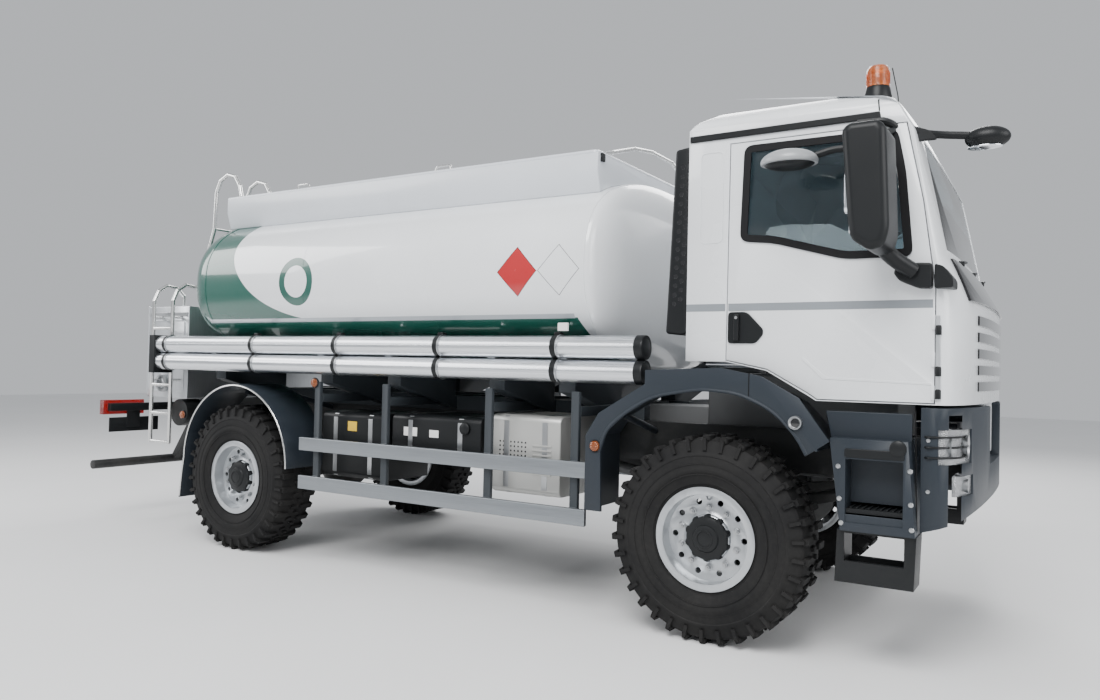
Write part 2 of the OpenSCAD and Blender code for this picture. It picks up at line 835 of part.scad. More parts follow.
function tyre_profile() = let (h = tyre_w / 2, r = tyre_d / 2, b = bead_r + seat_gap, w = h - 34 - seat_gap)
    [[b, -w], [bead_r + 34, -w], [(bead_r + r) / 2 - 30, -h + 4], [(bead_r + r) / 2 + 25, -h],
     [r - 45, -h + 8], [r - 14, -h + 26], [r, -h + 52], [r, h - 52], [r - 14, h - 26], [r - 45, h - 8],
     [(bead_r + r) / 2 + 25, h], [(bead_r + r) / 2 - 30, h - 4], [bead_r + 34, w], [b, w]];

// A body turned about the axle line, drawn as [radius, distance outwards from the tyre's middle]
module turned(x) {
    translate([x, wheel_y, axle_z]) rotate([-90, 0, 0]) rotate_extrude($fn = 96) children();
}

module tyre(x) { color("#1a1b1c") turned(x) polygon(tyre_profile()); }

module rim(x) {
    h = tyre_w / 2 - 34;
    disc = 78;
    color("#c7cbce") difference() {
        turned(x) {
            polygon([[bead_r, -h], [bead_r + 26, -h], [bead_r + 28, -h - 10], [bead_r - 12, -h - 12],
                [bead_r - 14, -h + 40], [bead_r - 14, disc - 30], [150, disc - 12], [120, disc - 40],
                [spindle_r + 0.5, disc - 40], [spindle_r + 0.5, disc + 6], [0, disc + 6], [0, disc + 40],
                [110, disc + 40], [125, disc + 30], [128, disc + 10], [150, disc], [bead_r - 16, disc],
                [bead_r - 14, h], [bead_r - 12, h + 12], [bead_r + 28, h + 10], [bead_r + 26, h], [bead_r, h]]);
        }
        for (a = [0 : 36 : 324]) translate([x, wheel_y, axle_z]) rotate([0, a, 0]) translate([200, 0, 0])
            rotate([-90, 0, 0]) cylinder(h = 200, r = 17);
    }
}

module door_right() { door_solid(); }
module door_left() { mirror([0, 1, 0]) door_solid(); }
module door_glass_right() { door_pane(); }
module door_glass_left() { mirror([0, 1, 0]) door_pane(); }
module mirror_right() { mirror_solid(true); }
module mirror_left() { mirror([0, 1, 0]) mirror_solid(false); }
module knuckle_right() { mirror([0, 1, 0]) knuckle(); }
module knuckle_left() { knuckle(); }
module tyre_front_right() { mirror([0, 1, 0]) tyre(0); }
module tyre_front_left() { tyre(0); }
module tyre_rear_right() { mirror([0, 1, 0]) tyre(rear_x); }
module tyre_rear_left() { tyre(rear_x); }
module rim_front_right() { mirror([0, 1, 0]) rim(0); }
module rim_front_left() { rim(0); }
module rim_rear_right() { mirror([0, 1, 0]) rim(rear_x); }
module rim_rear_left() { rim(rear_x); }

place() frame_rails();
place() axles();
place() leaf_springs();
place() engine();
place() driveline();
place() air_tanks();
place() fuel_tanks();
place() silencer();
place() storage_boxes();
place() side_guards();
place() front_bumper();
place() lamps();
place() entry_steps();
place() fenders();
place() tank_vessel();
place() tank_coaming();
place() tank_cradle();
place() hose_tubes();
place() ladder();
place() rear_cabinet();
place() underrun_bar();
place() manhole_lid();
place() cabinet_door();
place() cab_shell();
place() front_panel();
place() windscreen();
place() dashboard();
place() steering_wheel();
place() seats();
place() front_mirror();
place() beacon();
place() air_intake();
place() door_right();
place() door_left();
place() door_glass_right();
place() door_glass_left();
place() mirror_right();
place() mirror_left();
place() knuckle_right();
place() knuckle_left();
place() tyre_front_right();
place() tyre_front_left();
place() tyre_rear_right();
place() tyre_rear_left();
place() rim_front_right();
place() rim_front_left();
place() rim_rear_right();
place() rim_rear_left();
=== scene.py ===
"""Looks of an all-terrain tanker truck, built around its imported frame.

Laid out as a Blender add-on: the sidebar panel "Tanker" lists one operator for each group of pieces.
"""

import math

import bmesh
import bpy
from mathutils import Matrix, Vector


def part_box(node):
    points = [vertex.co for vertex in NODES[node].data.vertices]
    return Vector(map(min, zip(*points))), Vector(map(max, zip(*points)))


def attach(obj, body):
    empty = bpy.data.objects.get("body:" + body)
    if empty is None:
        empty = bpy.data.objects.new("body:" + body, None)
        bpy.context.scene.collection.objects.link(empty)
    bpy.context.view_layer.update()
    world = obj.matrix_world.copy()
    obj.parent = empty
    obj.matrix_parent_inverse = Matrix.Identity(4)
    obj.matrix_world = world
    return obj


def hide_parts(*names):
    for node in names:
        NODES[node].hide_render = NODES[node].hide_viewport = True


bl_info = {
    "name": "Tanker truck looks",
    "version": (1, 0, 0),
    "blender": (4, 5, 0),
    "location": "View3D > Sidebar > Tanker",
    "description": "Dresses the tanker truck's frame with detailed pieces and finishes",
    "category": "Object",
}

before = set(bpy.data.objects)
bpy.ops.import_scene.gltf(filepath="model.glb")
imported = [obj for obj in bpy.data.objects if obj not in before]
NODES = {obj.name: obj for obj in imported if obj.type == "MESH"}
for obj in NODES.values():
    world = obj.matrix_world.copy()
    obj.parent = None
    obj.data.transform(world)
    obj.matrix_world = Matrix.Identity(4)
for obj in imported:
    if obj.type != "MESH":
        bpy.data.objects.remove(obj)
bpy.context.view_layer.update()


def middle(node):
    """The middle of a frame node's box."""
    low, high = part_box(node)
    return (low + high) / 2


FRONT_AXLE = middle("tyre_front_right")
REAR_AXLE = middle("tyre_rear_right")
AXLE_X = FRONT_AXLE.x
REAR_X = REAR_AXLE.x
AXLE_Z = FRONT_AXLE.z
WHEEL_Y = abs(FRONT_AXLE.y)
TYRE_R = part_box("tyre_front_right")[1].z - AXLE_Z
CAB_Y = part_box("cab_shell")[1].y
SIDES = {"right": -1, "left": 1}


def fx(x):
    """A place along the truck, given from the front axle."""
    return AXLE_X + x


def from_axle(points):
    """Places of two or three coordinates, each x given from the front axle."""
    return [(fx(x), *rest) for x, *rest in points]


# ---------------------------------------------------------------- sizes and colours


def colour(name, description, default):
    """A colour that the panel shows."""
    return bpy.props.FloatVectorProperty(name=name, description=description, subtype="COLOR", size=3,
                                         default=default, min=0, max=1)


class TruckColours(bpy.types.PropertyGroup):
    """Paint and plastic colours."""

    cab_white: colour("Cab white", "Paint of the cab", (0.78, 0.80, 0.82))
    tank_white: colour("Tank white", "Paint of the tank", (0.80, 0.82, 0.84))
    tank_green: colour("Tank green", "Green of the tank's livery", (0.008, 0.085, 0.062))
    dark_plastic: colour("Anthracite", "Fenders, steps and bumper", (0.018, 0.024, 0.032))
    black_plastic: colour("Black plastic", "Mirrors, gutter and air intake", (0.008, 0.009, 0.010))
    amber: colour("Amber", "Beacon and side markers", (0.75, 0.16, 0.01))


class TruckSizes(bpy.types.PropertyGroup):
    """Sizes that a user would change."""

    lug_depth: bpy.props.FloatProperty(
        name="Tread depth", description="Depth of the tyres' tread", unit="LENGTH",
        default=0.020, min=0.005, max=0.03)
    lug_count: bpy.props.IntProperty(
        name="Tread blocks", description="Tread blocks round each side of a tyre", default=34, min=20, max=60)
    stud_count: bpy.props.IntProperty(
        name="Wheel studs", description="Studs on each wheel", default=10, min=6, max=12)
    stud_circle: bpy.props.FloatProperty(
        name="Stud circle", description="Diameter of the wheel studs' circle", unit="LENGTH",
        default=0.335, min=0.2, max=0.4)


class StageSettings(bpy.types.PropertyGroup):
    """Camera and light."""

    place: bpy.props.FloatVectorProperty(
        name="Camera place", description="Camera place from the front axle's ground point",
        subtype="TRANSLATION", size=3, default=(1.7005, -5.5788, 1.4835))
    yaw: bpy.props.FloatProperty(
        name="Yaw", description="Turn of the camera to the left of square on", subtype="ANGLE",
        default=math.radians(31.719))
    pitch: bpy.props.FloatProperty(
        name="Pitch", description="Upward tilt of the camera", subtype="ANGLE", default=math.radians(1.16))
    roll: bpy.props.FloatProperty(
        name="Roll", description="Roll of the camera", subtype="ANGLE", default=math.radians(1.255))
    lens: bpy.props.FloatProperty(
        name="Lens", description="Focal length in millimetres", default=27.704, min=10, max=200)


def colours():
    return bpy.context.scene.tanker_colours


def sizes():
    return bpy.context.scene.tanker_sizes


# ---------------------------------------------------------------- shader groups


def new_group(name, inputs, outputs):
    """An empty shader node group with its sockets, and its input and output nodes."""
    group = bpy.data.node_groups.new(name, "ShaderNodeTree")
    for label, kind, value in inputs:
        socket = group.interface.new_socket(label, in_out="INPUT", socket_type=kind)
        if value is not None:
            socket.default_value = value
    for label, kind in outputs:
        group.interface.new_socket(label, in_out="OUTPUT", socket_type=kind)
    return group, group.nodes.new("NodeGroupInput"), group.nodes.new("NodeGroupOutput")


def noise(tree, vector, scale, detail=3.0, rough=0.55):
    """A noise texture's factor, reading a vector."""
    node = tree.nodes.new("ShaderNodeTexNoise")
    node.inputs["Scale"].default_value = scale
    node.inputs["Detail"].default_value = detail
    node.inputs["Roughness"].default_value = rough
    tree.links.new(vector, node.inputs["Vector"])
    return node.outputs["Fac"]


def ramp(tree, value, low, high, to_low=0.0, to_high=1.0):
    """A value moved from one range to another and clamped."""
    node = tree.nodes.new("ShaderNodeMapRange")
    node.inputs["From Min"].default_value = low
    node.inputs["From Max"].default_value = high
    node.inputs["To Min"].default_value = to_low
    node.inputs["To Max"].default_value = to_high
    tree.links.new(value, node.inputs["Value"])
    return node.outputs["Result"]


def maths(tree, operation, a, b=None, clamp=False):
    """One Math node; a and b are sockets or numbers."""
    node = tree.nodes.new("ShaderNodeMath")
    node.operation = operation
    node.use_clamp = clamp
    for index, item in enumerate((a, b)):
        if item is None:
            continue
        if isinstance(item, (int, float)):
            node.inputs[index].default_value = item
        else:
            tree.links.new(item, node.inputs[index])
    return node.outputs["Value"]


def mixed(tree, factor, a, b):
    """A colour between a and b; each is a socket or a colour."""
    node = tree.nodes.new("ShaderNodeMix")
    node.data_type = "RGBA"
    for item, socket in ((factor, node.inputs[0]), (a, node.inputs[6]), (b, node.inputs[7])):
        if isinstance(item, bpy.types.NodeSocket):
            tree.links.new(item, socket)
        elif isinstance(item, (int, float)):
            socket.default_value = item
        else:
            socket.default_value = (*item[:3], 1.0)
    return node.outputs[2]


def within(tree, value, middle_value, half):
    """One where a value lies within half of a middle value."""
    away = maths(tree, "ABSOLUTE", maths(tree, "SUBTRACT", value, middle_value))
    return maths(tree, "LESS_THAN", away, half)


def axes_of(tree, vector):
    node = tree.nodes.new("ShaderNodeSeparateXYZ")
    tree.links.new(vector, node.inputs["Vector"])
    return node.outputs


def bumped(tree, height, strength, distance):
    node = tree.nodes.new("ShaderNodeBump")
    node.inputs["Strength"].default_value = strength
    node.inputs["Distance"].default_value = distance
    tree.links.new(height, node.inputs["Height"])
    return node.outputs["Normal"]


def group_road_film():
    """Thin grey road film: more of it low down and in cloudy patches."""
    group, inside, out = new_group("road_film", [
        ("Vector", "NodeSocketVector", None), ("Color", "NodeSocketColor", (0.5, 0.5, 0.5, 1)),
        ("Film Color", "NodeSocketColor", (0.20, 0.19, 0.17, 1)), ("Amount", "NodeSocketFloat", 0.2),
        ("Height", "NodeSocketFloat", 1.2), ("Roughness", "NodeSocketFloat", 0.4),
    ], [("Color", "NodeSocketColor"), ("Roughness", "NodeSocketFloat"), ("Mask", "NodeSocketFloat")])
    vector = inside.outputs["Vector"]
    cloud = ramp(group, noise(group, vector, 3.1, 5.0), 0.35, 0.7)
    speck = ramp(group, noise(group, vector, 42.0, 4.0), 0.42, 0.75)
    low = maths(group, "DIVIDE", axes_of(group, vector)[2], inside.outputs["Height"])
    low = maths(group, "SUBTRACT", 1.25, low, clamp=True)
    mask = maths(group, "MULTIPLY", maths(group, "ADD", cloud, maths(group, "MULTIPLY", speck, 0.5)), low)
    mask = maths(group, "MULTIPLY", mask, inside.outputs["Amount"], clamp=True)
    group.links.new(mixed(group, mask, inside.outputs["Color"], inside.outputs["Film Color"]),
                    out.inputs["Color"])
    lift = maths(group, "MULTIPLY", mask, 0.45)
    group.links.new(maths(group, "ADD", inside.outputs["Roughness"], lift, clamp=True),
                    out.inputs["Roughness"])
    group.links.new(mask, out.inputs["Mask"])
    return group


def group_shade_drift():
    """Slow drift of a colour's shade and of its roughness, as in real sheet and paint."""
    group, inside, out = new_group("shade_drift", [
        ("Vector", "NodeSocketVector", None), ("Color", "NodeSocketColor", (0.5, 0.5, 0.5, 1)),
        ("Scale", "NodeSocketFloat", 2.0), ("Amount", "NodeSocketFloat", 0.06),
        ("Roughness", "NodeSocketFloat", 0.3), ("Spread", "NodeSocketFloat", 0.05),
    ], [("Color", "NodeSocketColor"), ("Roughness", "NodeSocketFloat")])
    node = group.nodes.new("ShaderNodeTexNoise")
    node.inputs["Detail"].default_value = 4.0
    group.links.new(inside.outputs["Vector"], node.inputs["Vector"])
    group.links.new(inside.outputs["Scale"], node.inputs["Scale"])
    centred = maths(group, "SUBTRACT", node.outputs["Fac"], 0.5)
    shade = maths(group, "MULTIPLY", centred, inside.outputs["Amount"])
    bright = group.nodes.new("ShaderNodeHueSaturation")
    group.links.new(inside.outputs["Color"], bright.inputs["Color"])
    group.links.new(maths(group, "ADD", 1.0, maths(group, "MULTIPLY", shade, 4.0)), bright.inputs["Value"])
    group.links.new(bright.outputs["Color"], out.inputs["Color"])
    rough = maths(group, "MULTIPLY", centred, maths(group, "MULTIPLY", inside.outputs["Spread"], 4.0))
    group.links.new(maths(group, "ADD", inside.outputs["Roughness"], rough, clamp=True),
                    out.inputs["Roughness"])
    return group


def group_grain():
    """Moulded grain of plastic, or orange peel of paint, as a height."""
    group, inside, out = new_group("moulded_grain", [
        ("Vector", "NodeSocketVector", None), ("Scale", "NodeSocketFloat", 900.0),
    ], [("Height", "NodeSocketFloat")])
    cells = group.nodes.new("ShaderNodeTexVoronoi")
    group.links.new(inside.outputs["Vector"], cells.inputs["Vector"])
    group.links.new(inside.outputs["Scale"], cells.inputs["Scale"])
    soft = group.nodes.new("ShaderNodeTexNoise")
    soft.inputs["Detail"].default_value = 2.0
    group.links.new(inside.outputs["Vector"], soft.inputs["Vector"])
    group.links.new(inside.outputs["Scale"], soft.inputs["Scale"])
    both = maths(group, "ADD", cells.outputs["Distance"], soft.outputs["Fac"])
    group.links.new(both, out.inputs["Height"])
    return group


def group_brushed():
    """Fine lines along one axis of the vector, as on brushed or drawn metal."""
    group, inside, out = new_group("drawn_lines", [
        ("Vector", "NodeSocketVector", None), ("Stretch", "NodeSocketVector", (1.0, 120.0, 120.0)),
    ], [("Lines", "NodeSocketFloat")])
    scale = group.nodes.new("ShaderNodeVectorMath")
    scale.operation = "MULTIPLY"
    group.links.new(inside.outputs["Vector"], scale.inputs[0])
    group.links.new(inside.outputs["Stretch"], scale.inputs[1])
    group.links.new(noise(group, scale.outputs["Vector"], 3.0, 4.0, 0.6), out.inputs["Lines"])
    return group


def group_weave():
    """Woven cloth: crossed ribs as a height and a thread mask."""
    group, inside, out = new_group("cloth_weave", [
        ("Vector", "NodeSocketVector", None), ("Scale", "NodeSocketFloat", 300.0),
    ], [("Height", "NodeSocketFloat"), ("Mask", "NodeSocketFloat")])
    axes = axes_of(group, inside.outputs["Vector"])
    along = maths(group, "ADD", axes[0], axes[2])
    waves = []
    for axis in (along, axes[1]):
        turns = maths(group, "MULTIPLY", axis, inside.outputs["Scale"])
        waves.append(maths(group, "ABSOLUTE", maths(group, "SINE", turns)))
    height = maths(group, "MAXIMUM", waves[0], waves[1])
    group.links.new(height, out.inputs["Height"])
    group.links.new(ramp(group, noise(group, inside.outputs["Vector"], 60.0), 0.3, 0.7), out.inputs["Mask"])
    return group


GROUPS = {}


def group_of(key):
    """The shared group with this name, made once."""
    makers = {"road_film": group_road_film, "shade_drift": group_shade_drift, "moulded_grain": group_grain,
              "drawn_lines": group_brushed, "cloth_weave": group_weave}
    if key not in GROUPS:
        GROUPS[key] = makers[key]()
    return GROUPS[key]


def placed(tree, key, vector, **values):
    """A shared group in a material, with its own values; returns its outputs."""
    node = tree.nodes.new("ShaderNodeGroup")
    node.node_tree = group_of(key)
    tree.links.new(vector, node.inputs["Vector"])
    for label, value in values.items():
        socket = node.inputs[label.replace("_", " ")]
        if isinstance(value, bpy.types.NodeSocket):
            tree.links.new(value, socket)
        elif hasattr(value, "__len__") and socket.type == "RGBA":
            socket.default_value = (*value[:3], 1.0)
        else:
            socket.default_value = value
    return node.outputs


# ---------------------------------------------------------------- materials


MADE = {}


def fresh(name, **constants):
    """A material with its tree, Principled shader and object coordinates."""
    material = bpy.data.materials.new(name)
    material.use_nodes = True
    tree = material.node_tree
    shader = tree.nodes["Principled BSDF"]
    for label, value in constants.items():
        shader.inputs[label.replace("_", " ")].default_value = value
    where = tree.nodes.new("ShaderNodeTexCoord").outputs["Object"]
    return material, tree, shader, where


def finish(tree, shader, where, color, rough, film=0.0, film_height=1.2, drift=0.05, spread=0.05,
           drift_scale=2.0, grain=None):
    """Joins the shared effects to a shader: colour drift, road film and a fine grain."""
    out = placed(tree, "shade_drift", where, Color=color, Roughness=rough, Amount=drift, Spread=spread,
                 Scale=drift_scale)
    color, rough = out["Color"], out["Roughness"]
    if film:
        out = placed(tree, "road_film", where, Color=color, Roughness=rough, Amount=film, Height=film_height)
        color, rough = out["Color"], out["Roughness"]
    tree.links.new(color, shader.inputs["Base Color"])
    tree.links.new(rough, shader.inputs["Roughness"])
    if grain:
        scale, strength, distance = grain
        height = placed(tree, "moulded_grain", where, Scale=scale)["Height"]
        tree.links.new(bumped(tree, height, strength, distance), shader.inputs["Normal"])


def paint_white():
    material, tree, shader, where = fresh("cab_white_paint", Coat_Weight=0.6, Coat_Roughness=0.06)
    finish(tree, shader, where, colours().cab_white, 0.28, film=0.05, film_height=1.6,
           grain=(260, 0.02, 0.001))
    return material


def paint_coaming():
    material, tree, shader, where = fresh("trough_white_paint", Coat_Weight=0.3, Coat_Roughness=0.15)
    finish(tree, shader, where, (0.62, 0.65, 0.69), 0.35, film=0.05, film_height=3.2,
           grain=(220, 0.03, 0.001))
    return material


def plain_finish(name, color, rough, metallic=0.0, coat=0.0, film=0.0, grain=(700, 0.12, 0.0006), drift=0.06,
                 film_height=1.2, shine=0.5):
    """A material with the shared effects and no pattern of its own."""
    material, tree, shader, where = fresh(name, Metallic=metallic, Coat_Weight=coat, Coat_Roughness=0.1,
                                          Specular_IOR_Level=shine)
    finish(tree, shader, where, color, rough, film=film, film_height=film_height, grain=grain, drift=drift)
    return material


def drawn_metal(name, color, rough, stretch, film=0.05):
    """Bare metal with fine lines along its length."""
    material, tree, shader, where = fresh(name, Metallic=1.0)
    lines = placed(tree, "drawn_lines", where, Stretch=stretch)["Lines"]
    streaked = ramp(tree, lines, 0.3, 0.7, 0.9, 1.08)
    shade = tree.nodes.new("ShaderNodeHueSaturation")
    shade.inputs["Color"].default_value = (*color, 1.0)
    tree.links.new(streaked, shade.inputs["Value"])
    out = placed(tree, "road_film", where, Color=shade.outputs["Color"], Roughness=rough, Amount=film,
                 Height=1.8)
    tree.links.new(out["Color"], shader.inputs["Base Color"])
    uneven = ramp(tree, lines, 0.25, 0.75, -0.06, 0.08)
    tree.links.new(maths(tree, "ADD", out["Roughness"], uneven, clamp=True), shader.inputs["Roughness"])
    tree.links.new(bumped(tree, lines, 0.08, 0.0008), shader.inputs["Normal"])
    return material


def tank_livery():
    """White tank with a green tail that sweeps forward into a low green band."""
    material, tree, shader, where = fresh("tank_livery", Coat_Weight=0.8, Coat_Roughness=0.04)
    axes = axes_of(tree, where)
    sweep_x = REAR_X + 0.90
    sweep_z = 2.45
    sweep_a = 1.04
    sweep_b = 0.66
    dx = maths(tree, "DIVIDE", maths(tree, "SUBTRACT", axes[0], sweep_x), sweep_a)
    dz = maths(tree, "DIVIDE", maths(tree, "SUBTRACT", axes[2], sweep_z), sweep_b)
    dx = maths(tree, "MINIMUM", dx, 0.0)
    dz = maths(tree, "MINIMUM", dz, 0.0)
    reach = maths(tree, "ADD", maths(tree, "MULTIPLY", dx, dx), maths(tree, "MULTIPLY", dz, dz))
    green = ramp(tree, reach, 0.994, 1.0)
    band_end = maths(tree, "MULTIPLY", maths(tree, "SUBTRACT", 1.78, axes[2]), 0.35)
    band_end = maths(tree, "ADD", band_end, fx(-0.87))
    green = maths(tree, "MULTIPLY", green, maths(tree, "LESS_THAN", axes[0], band_end))
    color = mixed(tree, green, colours().tank_white, colours().tank_green)
    strip = within(tree, axes[2], 1.800, 0.014)
    strip = maths(tree, "MULTIPLY", strip, within(tree, axes[0], fx(-2.63), 1.74))
    color = mixed(tree, strip, color, (0.42, 0.45, 0.48))
    for x, fill in ((-1.27, (0.42, 0.010, 0.014)), (-0.966, (0.80, 0.82, 0.84))):
        across = maths(tree, "ABSOLUTE", maths(tree, "SUBTRACT", axes[0], fx(x)))
        up = maths(tree, "ABSOLUTE", maths(tree, "SUBTRACT", axes[2], 2.078))
        reach = maths(tree, "ADD", across, maths(tree, "MULTIPLY", up, 0.95))
        color = mixed(tree, maths(tree, "LESS_THAN", reach, 0.149), color, (0.02, 0.02, 0.025))
        color = mixed(tree, maths(tree, "LESS_THAN", reach, 0.144), color, fill)
    across = maths(tree, "SUBTRACT", axes[0], fx(-3.27))
    up = maths(tree, "SUBTRACT", axes[2], 2.085)
    reach = maths(tree, "ADD", maths(tree, "MULTIPLY", across, across), maths(tree, "MULTIPLY", up, up))
    ring = within(tree, maths(tree, "SQRT", reach), 0.15, 0.030)
    color = mixed(tree, ring, color, colours().tank_green)
    finish(tree, shader, where, color, 0.22, film=0.06, film_height=2.6, drift=0.03,
           grain=(150, 0.015, 0.002))
    return material


def tyre_rubber():
    material, tree, shader, where = fresh("tyre_rubber", Specular_IOR_Level=0.2)
    finish(tree, shader, where, (0.008, 0.008, 0.0085), 0.72, film=0.05, film_height=1.6,
           grain=(420, 0.25, 0.0008), drift=0.12)
    return material


def dark_glass():
    material, tree, shader, where = fresh("tinted_glass", Transmission_Weight=1.0, IOR=1.45)
    color = placed(tree, "shade_drift", where, Color=(0.42, 0.52, 0.56), Roughness=0.02, Amount=0.02,
                   Spread=0.01,
                   Scale=1.5)
    tree.links.new(color["Color"], shader.inputs["Base Color"])
    tree.links.new(color["Roughness"], shader.inputs["Roughness"])
    return material


def clear_lens(name, color, rough=0.08):
    """Lamp plastic with fine ribs."""
    material, tree, shader, where = fresh(name, Transmission_Weight=0.75, IOR=1.49, Coat_Weight=0.5)
    out = placed(tree, "shade_drift", where, Color=color, Roughness=rough, Amount=0.03, Spread=0.03,
                 Scale=9.0)
    tree.links.new(out["Color"], shader.inputs["Base Color"])
    tree.links.new(out["Roughness"], shader.inputs["Roughness"])
    ribs = maths(tree, "SINE", maths(tree, "MULTIPLY", axes_of(tree, where)[2], 900.0))
    tree.links.new(bumped(tree, ribs, 0.35, 0.002), shader.inputs["Normal"])
    return material


def cloth(name, color):
    material, tree, shader, where = fresh(name, Sheen_Weight=0.35, Sheen_Roughness=0.5)
    weave = placed(tree, "cloth_weave", where, Scale=1500.0)
    tone = mixed(tree, weave["Mask"], [c * 0.7 for c in color], [c * 1.25 for c in color])
    out = placed(tree, "shade_drift", where, Color=tone, Roughness=0.85, Amount=0.08, Spread=0.05, Scale=6.0)
    tree.links.new(out["Color"], shader.inputs["Base Color"])
    tree.links.new(out["Roughness"], shader.inputs["Roughness"])
    tree.links.new(bumped(tree, weave["Height"], 0.4, 0.001), shader.inputs["Normal"])
    return material


def mirror_glass():
    material, tree, shader, where = fresh("mirror_glass", Metallic=1.0)
    out = placed(tree, "shade_drift", where, Color=(0.82, 0.85, 0.88), Roughness=0.03, Amount=0.02,
                 Spread=0.02)
    tree.links.new(out["Color"], shader.inputs["Base Color"])
    tree.links.new(out["Roughness"], shader.inputs["Roughness"])
    return material


def get(name):
    """The material with this name, made once."""
    c = colours()
    makers = {
        "white": paint_white,
        "coaming": paint_coaming,
        "tank": tank_livery,
        "green": lambda: plain_finish("cradle_green_paint", [v * 0.75 for v in c.tank_green], 0.35, coat=0.4,
                                      film=0.2, film_height=2.0),
        "anthracite": lambda: plain_finish("anthracite_plastic", c.dark_plastic, 0.42, film=0.05,
                                           grain=(900, 0.18, 0.0005), shine=0.3),
        "black": lambda: plain_finish("black_plastic", c.black_plastic, 0.40, film=0.02,
                                      grain=(1100, 0.15, 0.0004),
                                      shine=0.25),
        "gloss_black": lambda: plain_finish("gloss_black", (0.004, 0.004, 0.005), 0.08, coat=0.8,
                                            grain=(150, 0.01, 0.001)),
        "rubber": lambda: plain_finish("black_rubber", (0.006, 0.006, 0.007), 0.62, grain=(600, 0.2, 0.0006),
                                       shine=0.2),
        "chassis": lambda: plain_finish("chassis_black_paint", (0.008, 0.009, 0.010), 0.48, coat=0.1,
                                        film=0.12,
                                        grain=(240, 0.1, 0.001), shine=0.3),
        "iron": lambda: plain_finish("cast_iron", (0.16, 0.165, 0.17), 0.62, metallic=0.6, film=0.4,
                                     grain=(320, 0.35, 0.001)),
        "tyre": tyre_rubber,
        "wheel": lambda: plain_finish("wheel_silver", (0.52, 0.54, 0.56), 0.34, metallic=0.85, film=0.10,
                                      grain=(320, 0.08, 0.0008)),
        "anodised": lambda: drawn_metal("anodised_aluminium", (0.78, 0.80, 0.83), 0.27, (1.0, 90.0, 90.0),
                                        0.03),
        "sheet": lambda: drawn_metal("sheet_aluminium", (0.66, 0.68, 0.70), 0.38, (60.0, 60.0, 1.5), 0.08),
        "stainless": lambda: drawn_metal("stainless_tube", (0.70, 0.70, 0.69), 0.24, (60.0, 60.0, 1.0), 0.04),
        "steel": lambda: plain_finish("zinc_steel", (0.45, 0.46, 0.47), 0.35, metallic=1.0, film=0.08,
                                      grain=(500, 0.1, 0.0005)),
        "rail": lambda: drawn_metal("guard_rail", (0.30, 0.32, 0.34), 0.42, (1.0, 80.0, 80.0), 0.06),
        "post": lambda: plain_finish("post_grey", (0.030, 0.036, 0.042), 0.45, film=0.05, shine=0.3),
        "silencer": lambda: plain_finish("silencer_cover", (0.50, 0.50, 0.48), 0.42, metallic=0.55, film=0.10,
                                         grain=(300, 0.1, 0.0008)),
        "glass": dark_glass,
        "mirror": mirror_glass,
        "grey_shell": lambda: plain_finish("grey_mirror_shell", (0.30, 0.31, 0.32), 0.35, coat=0.2,
                                           grain=(600, 0.08, 0.0005)),
        "amber": lambda: clear_lens("amber_lens", c.amber),
        "red_lens": lambda: clear_lens("red_lens", (0.45, 0.008, 0.006)),
        "lamp": lambda: clear_lens("clear_lens", (0.9, 0.92, 0.94), 0.05),
        "seat": lambda: cloth("seat_cloth", (0.035, 0.038, 0.045)),
        "dash": lambda: plain_finish("dash_plastic", (0.035, 0.037, 0.040), 0.6, grain=(700, 0.3, 0.0006)),
        "stripe": lambda: plain_finish("door_stripe", (0.22, 0.24, 0.26), 0.35, coat=0.4,
                                       grain=(260, 0.02, 0.001)),
        "red_paint": lambda: plain_finish("placard_red", (0.50, 0.012, 0.012), 0.3, coat=0.5,
                                          grain=(200, 0.02, 0.001)),
        "placard_white": lambda: plain_finish("placard_white", (0.82, 0.82, 0.80), 0.3, coat=0.5,
                                              grain=(200, 0.02, 0.001)),
        "label_yellow": lambda: plain_finish("label_yellow", (0.72, 0.46, 0.02), 0.35, coat=0.4,
                                             grain=(200, 0.02, 0.001)),
    }
    if name not in MADE:
        MADE[name] = makers[name]()
    return MADE[name]


def coat(obj, name):
    """Gives a whole object one material."""
    obj.data.materials.clear()
    obj.data.materials.append(get(name))
    return obj


# ---------------------------------------------------------------- modelling steps


def clear():
    """Object mode with nothing selected."""
    if bpy.context.mode != "OBJECT":
        bpy.ops.object.mode_set(mode="OBJECT")
    bpy.ops.object.select_all(action="DESELECT")


def only(obj):
    clear()
    obj.select_set(True)
    bpy.context.view_layer.objects.active = obj
    return obj


def settle(name):
    """Names the active object and moves its place into its mesh."""
    obj = bpy.context.object
    obj.name = obj.data.name = name
    bpy.ops.object.transform_apply(location=True, rotation=True, scale=True)
    return obj


def primitive(name, kind, **settings):
    """A mesh primitive added at its size and place."""
    clear()
    getattr(bpy.ops.mesh, "primitive_" + kind + "_add")(**settings)
    return settle(name)


def box(name, low, high, width=0.004, segments=2):
    """A block between two corners with bevelled edges."""
    low, high = Vector(low), Vector(high)
    obj = primitive(name, "cube", size=1, location=(low + high) / 2, scale=high - low)
    return softened(obj, width, segments)


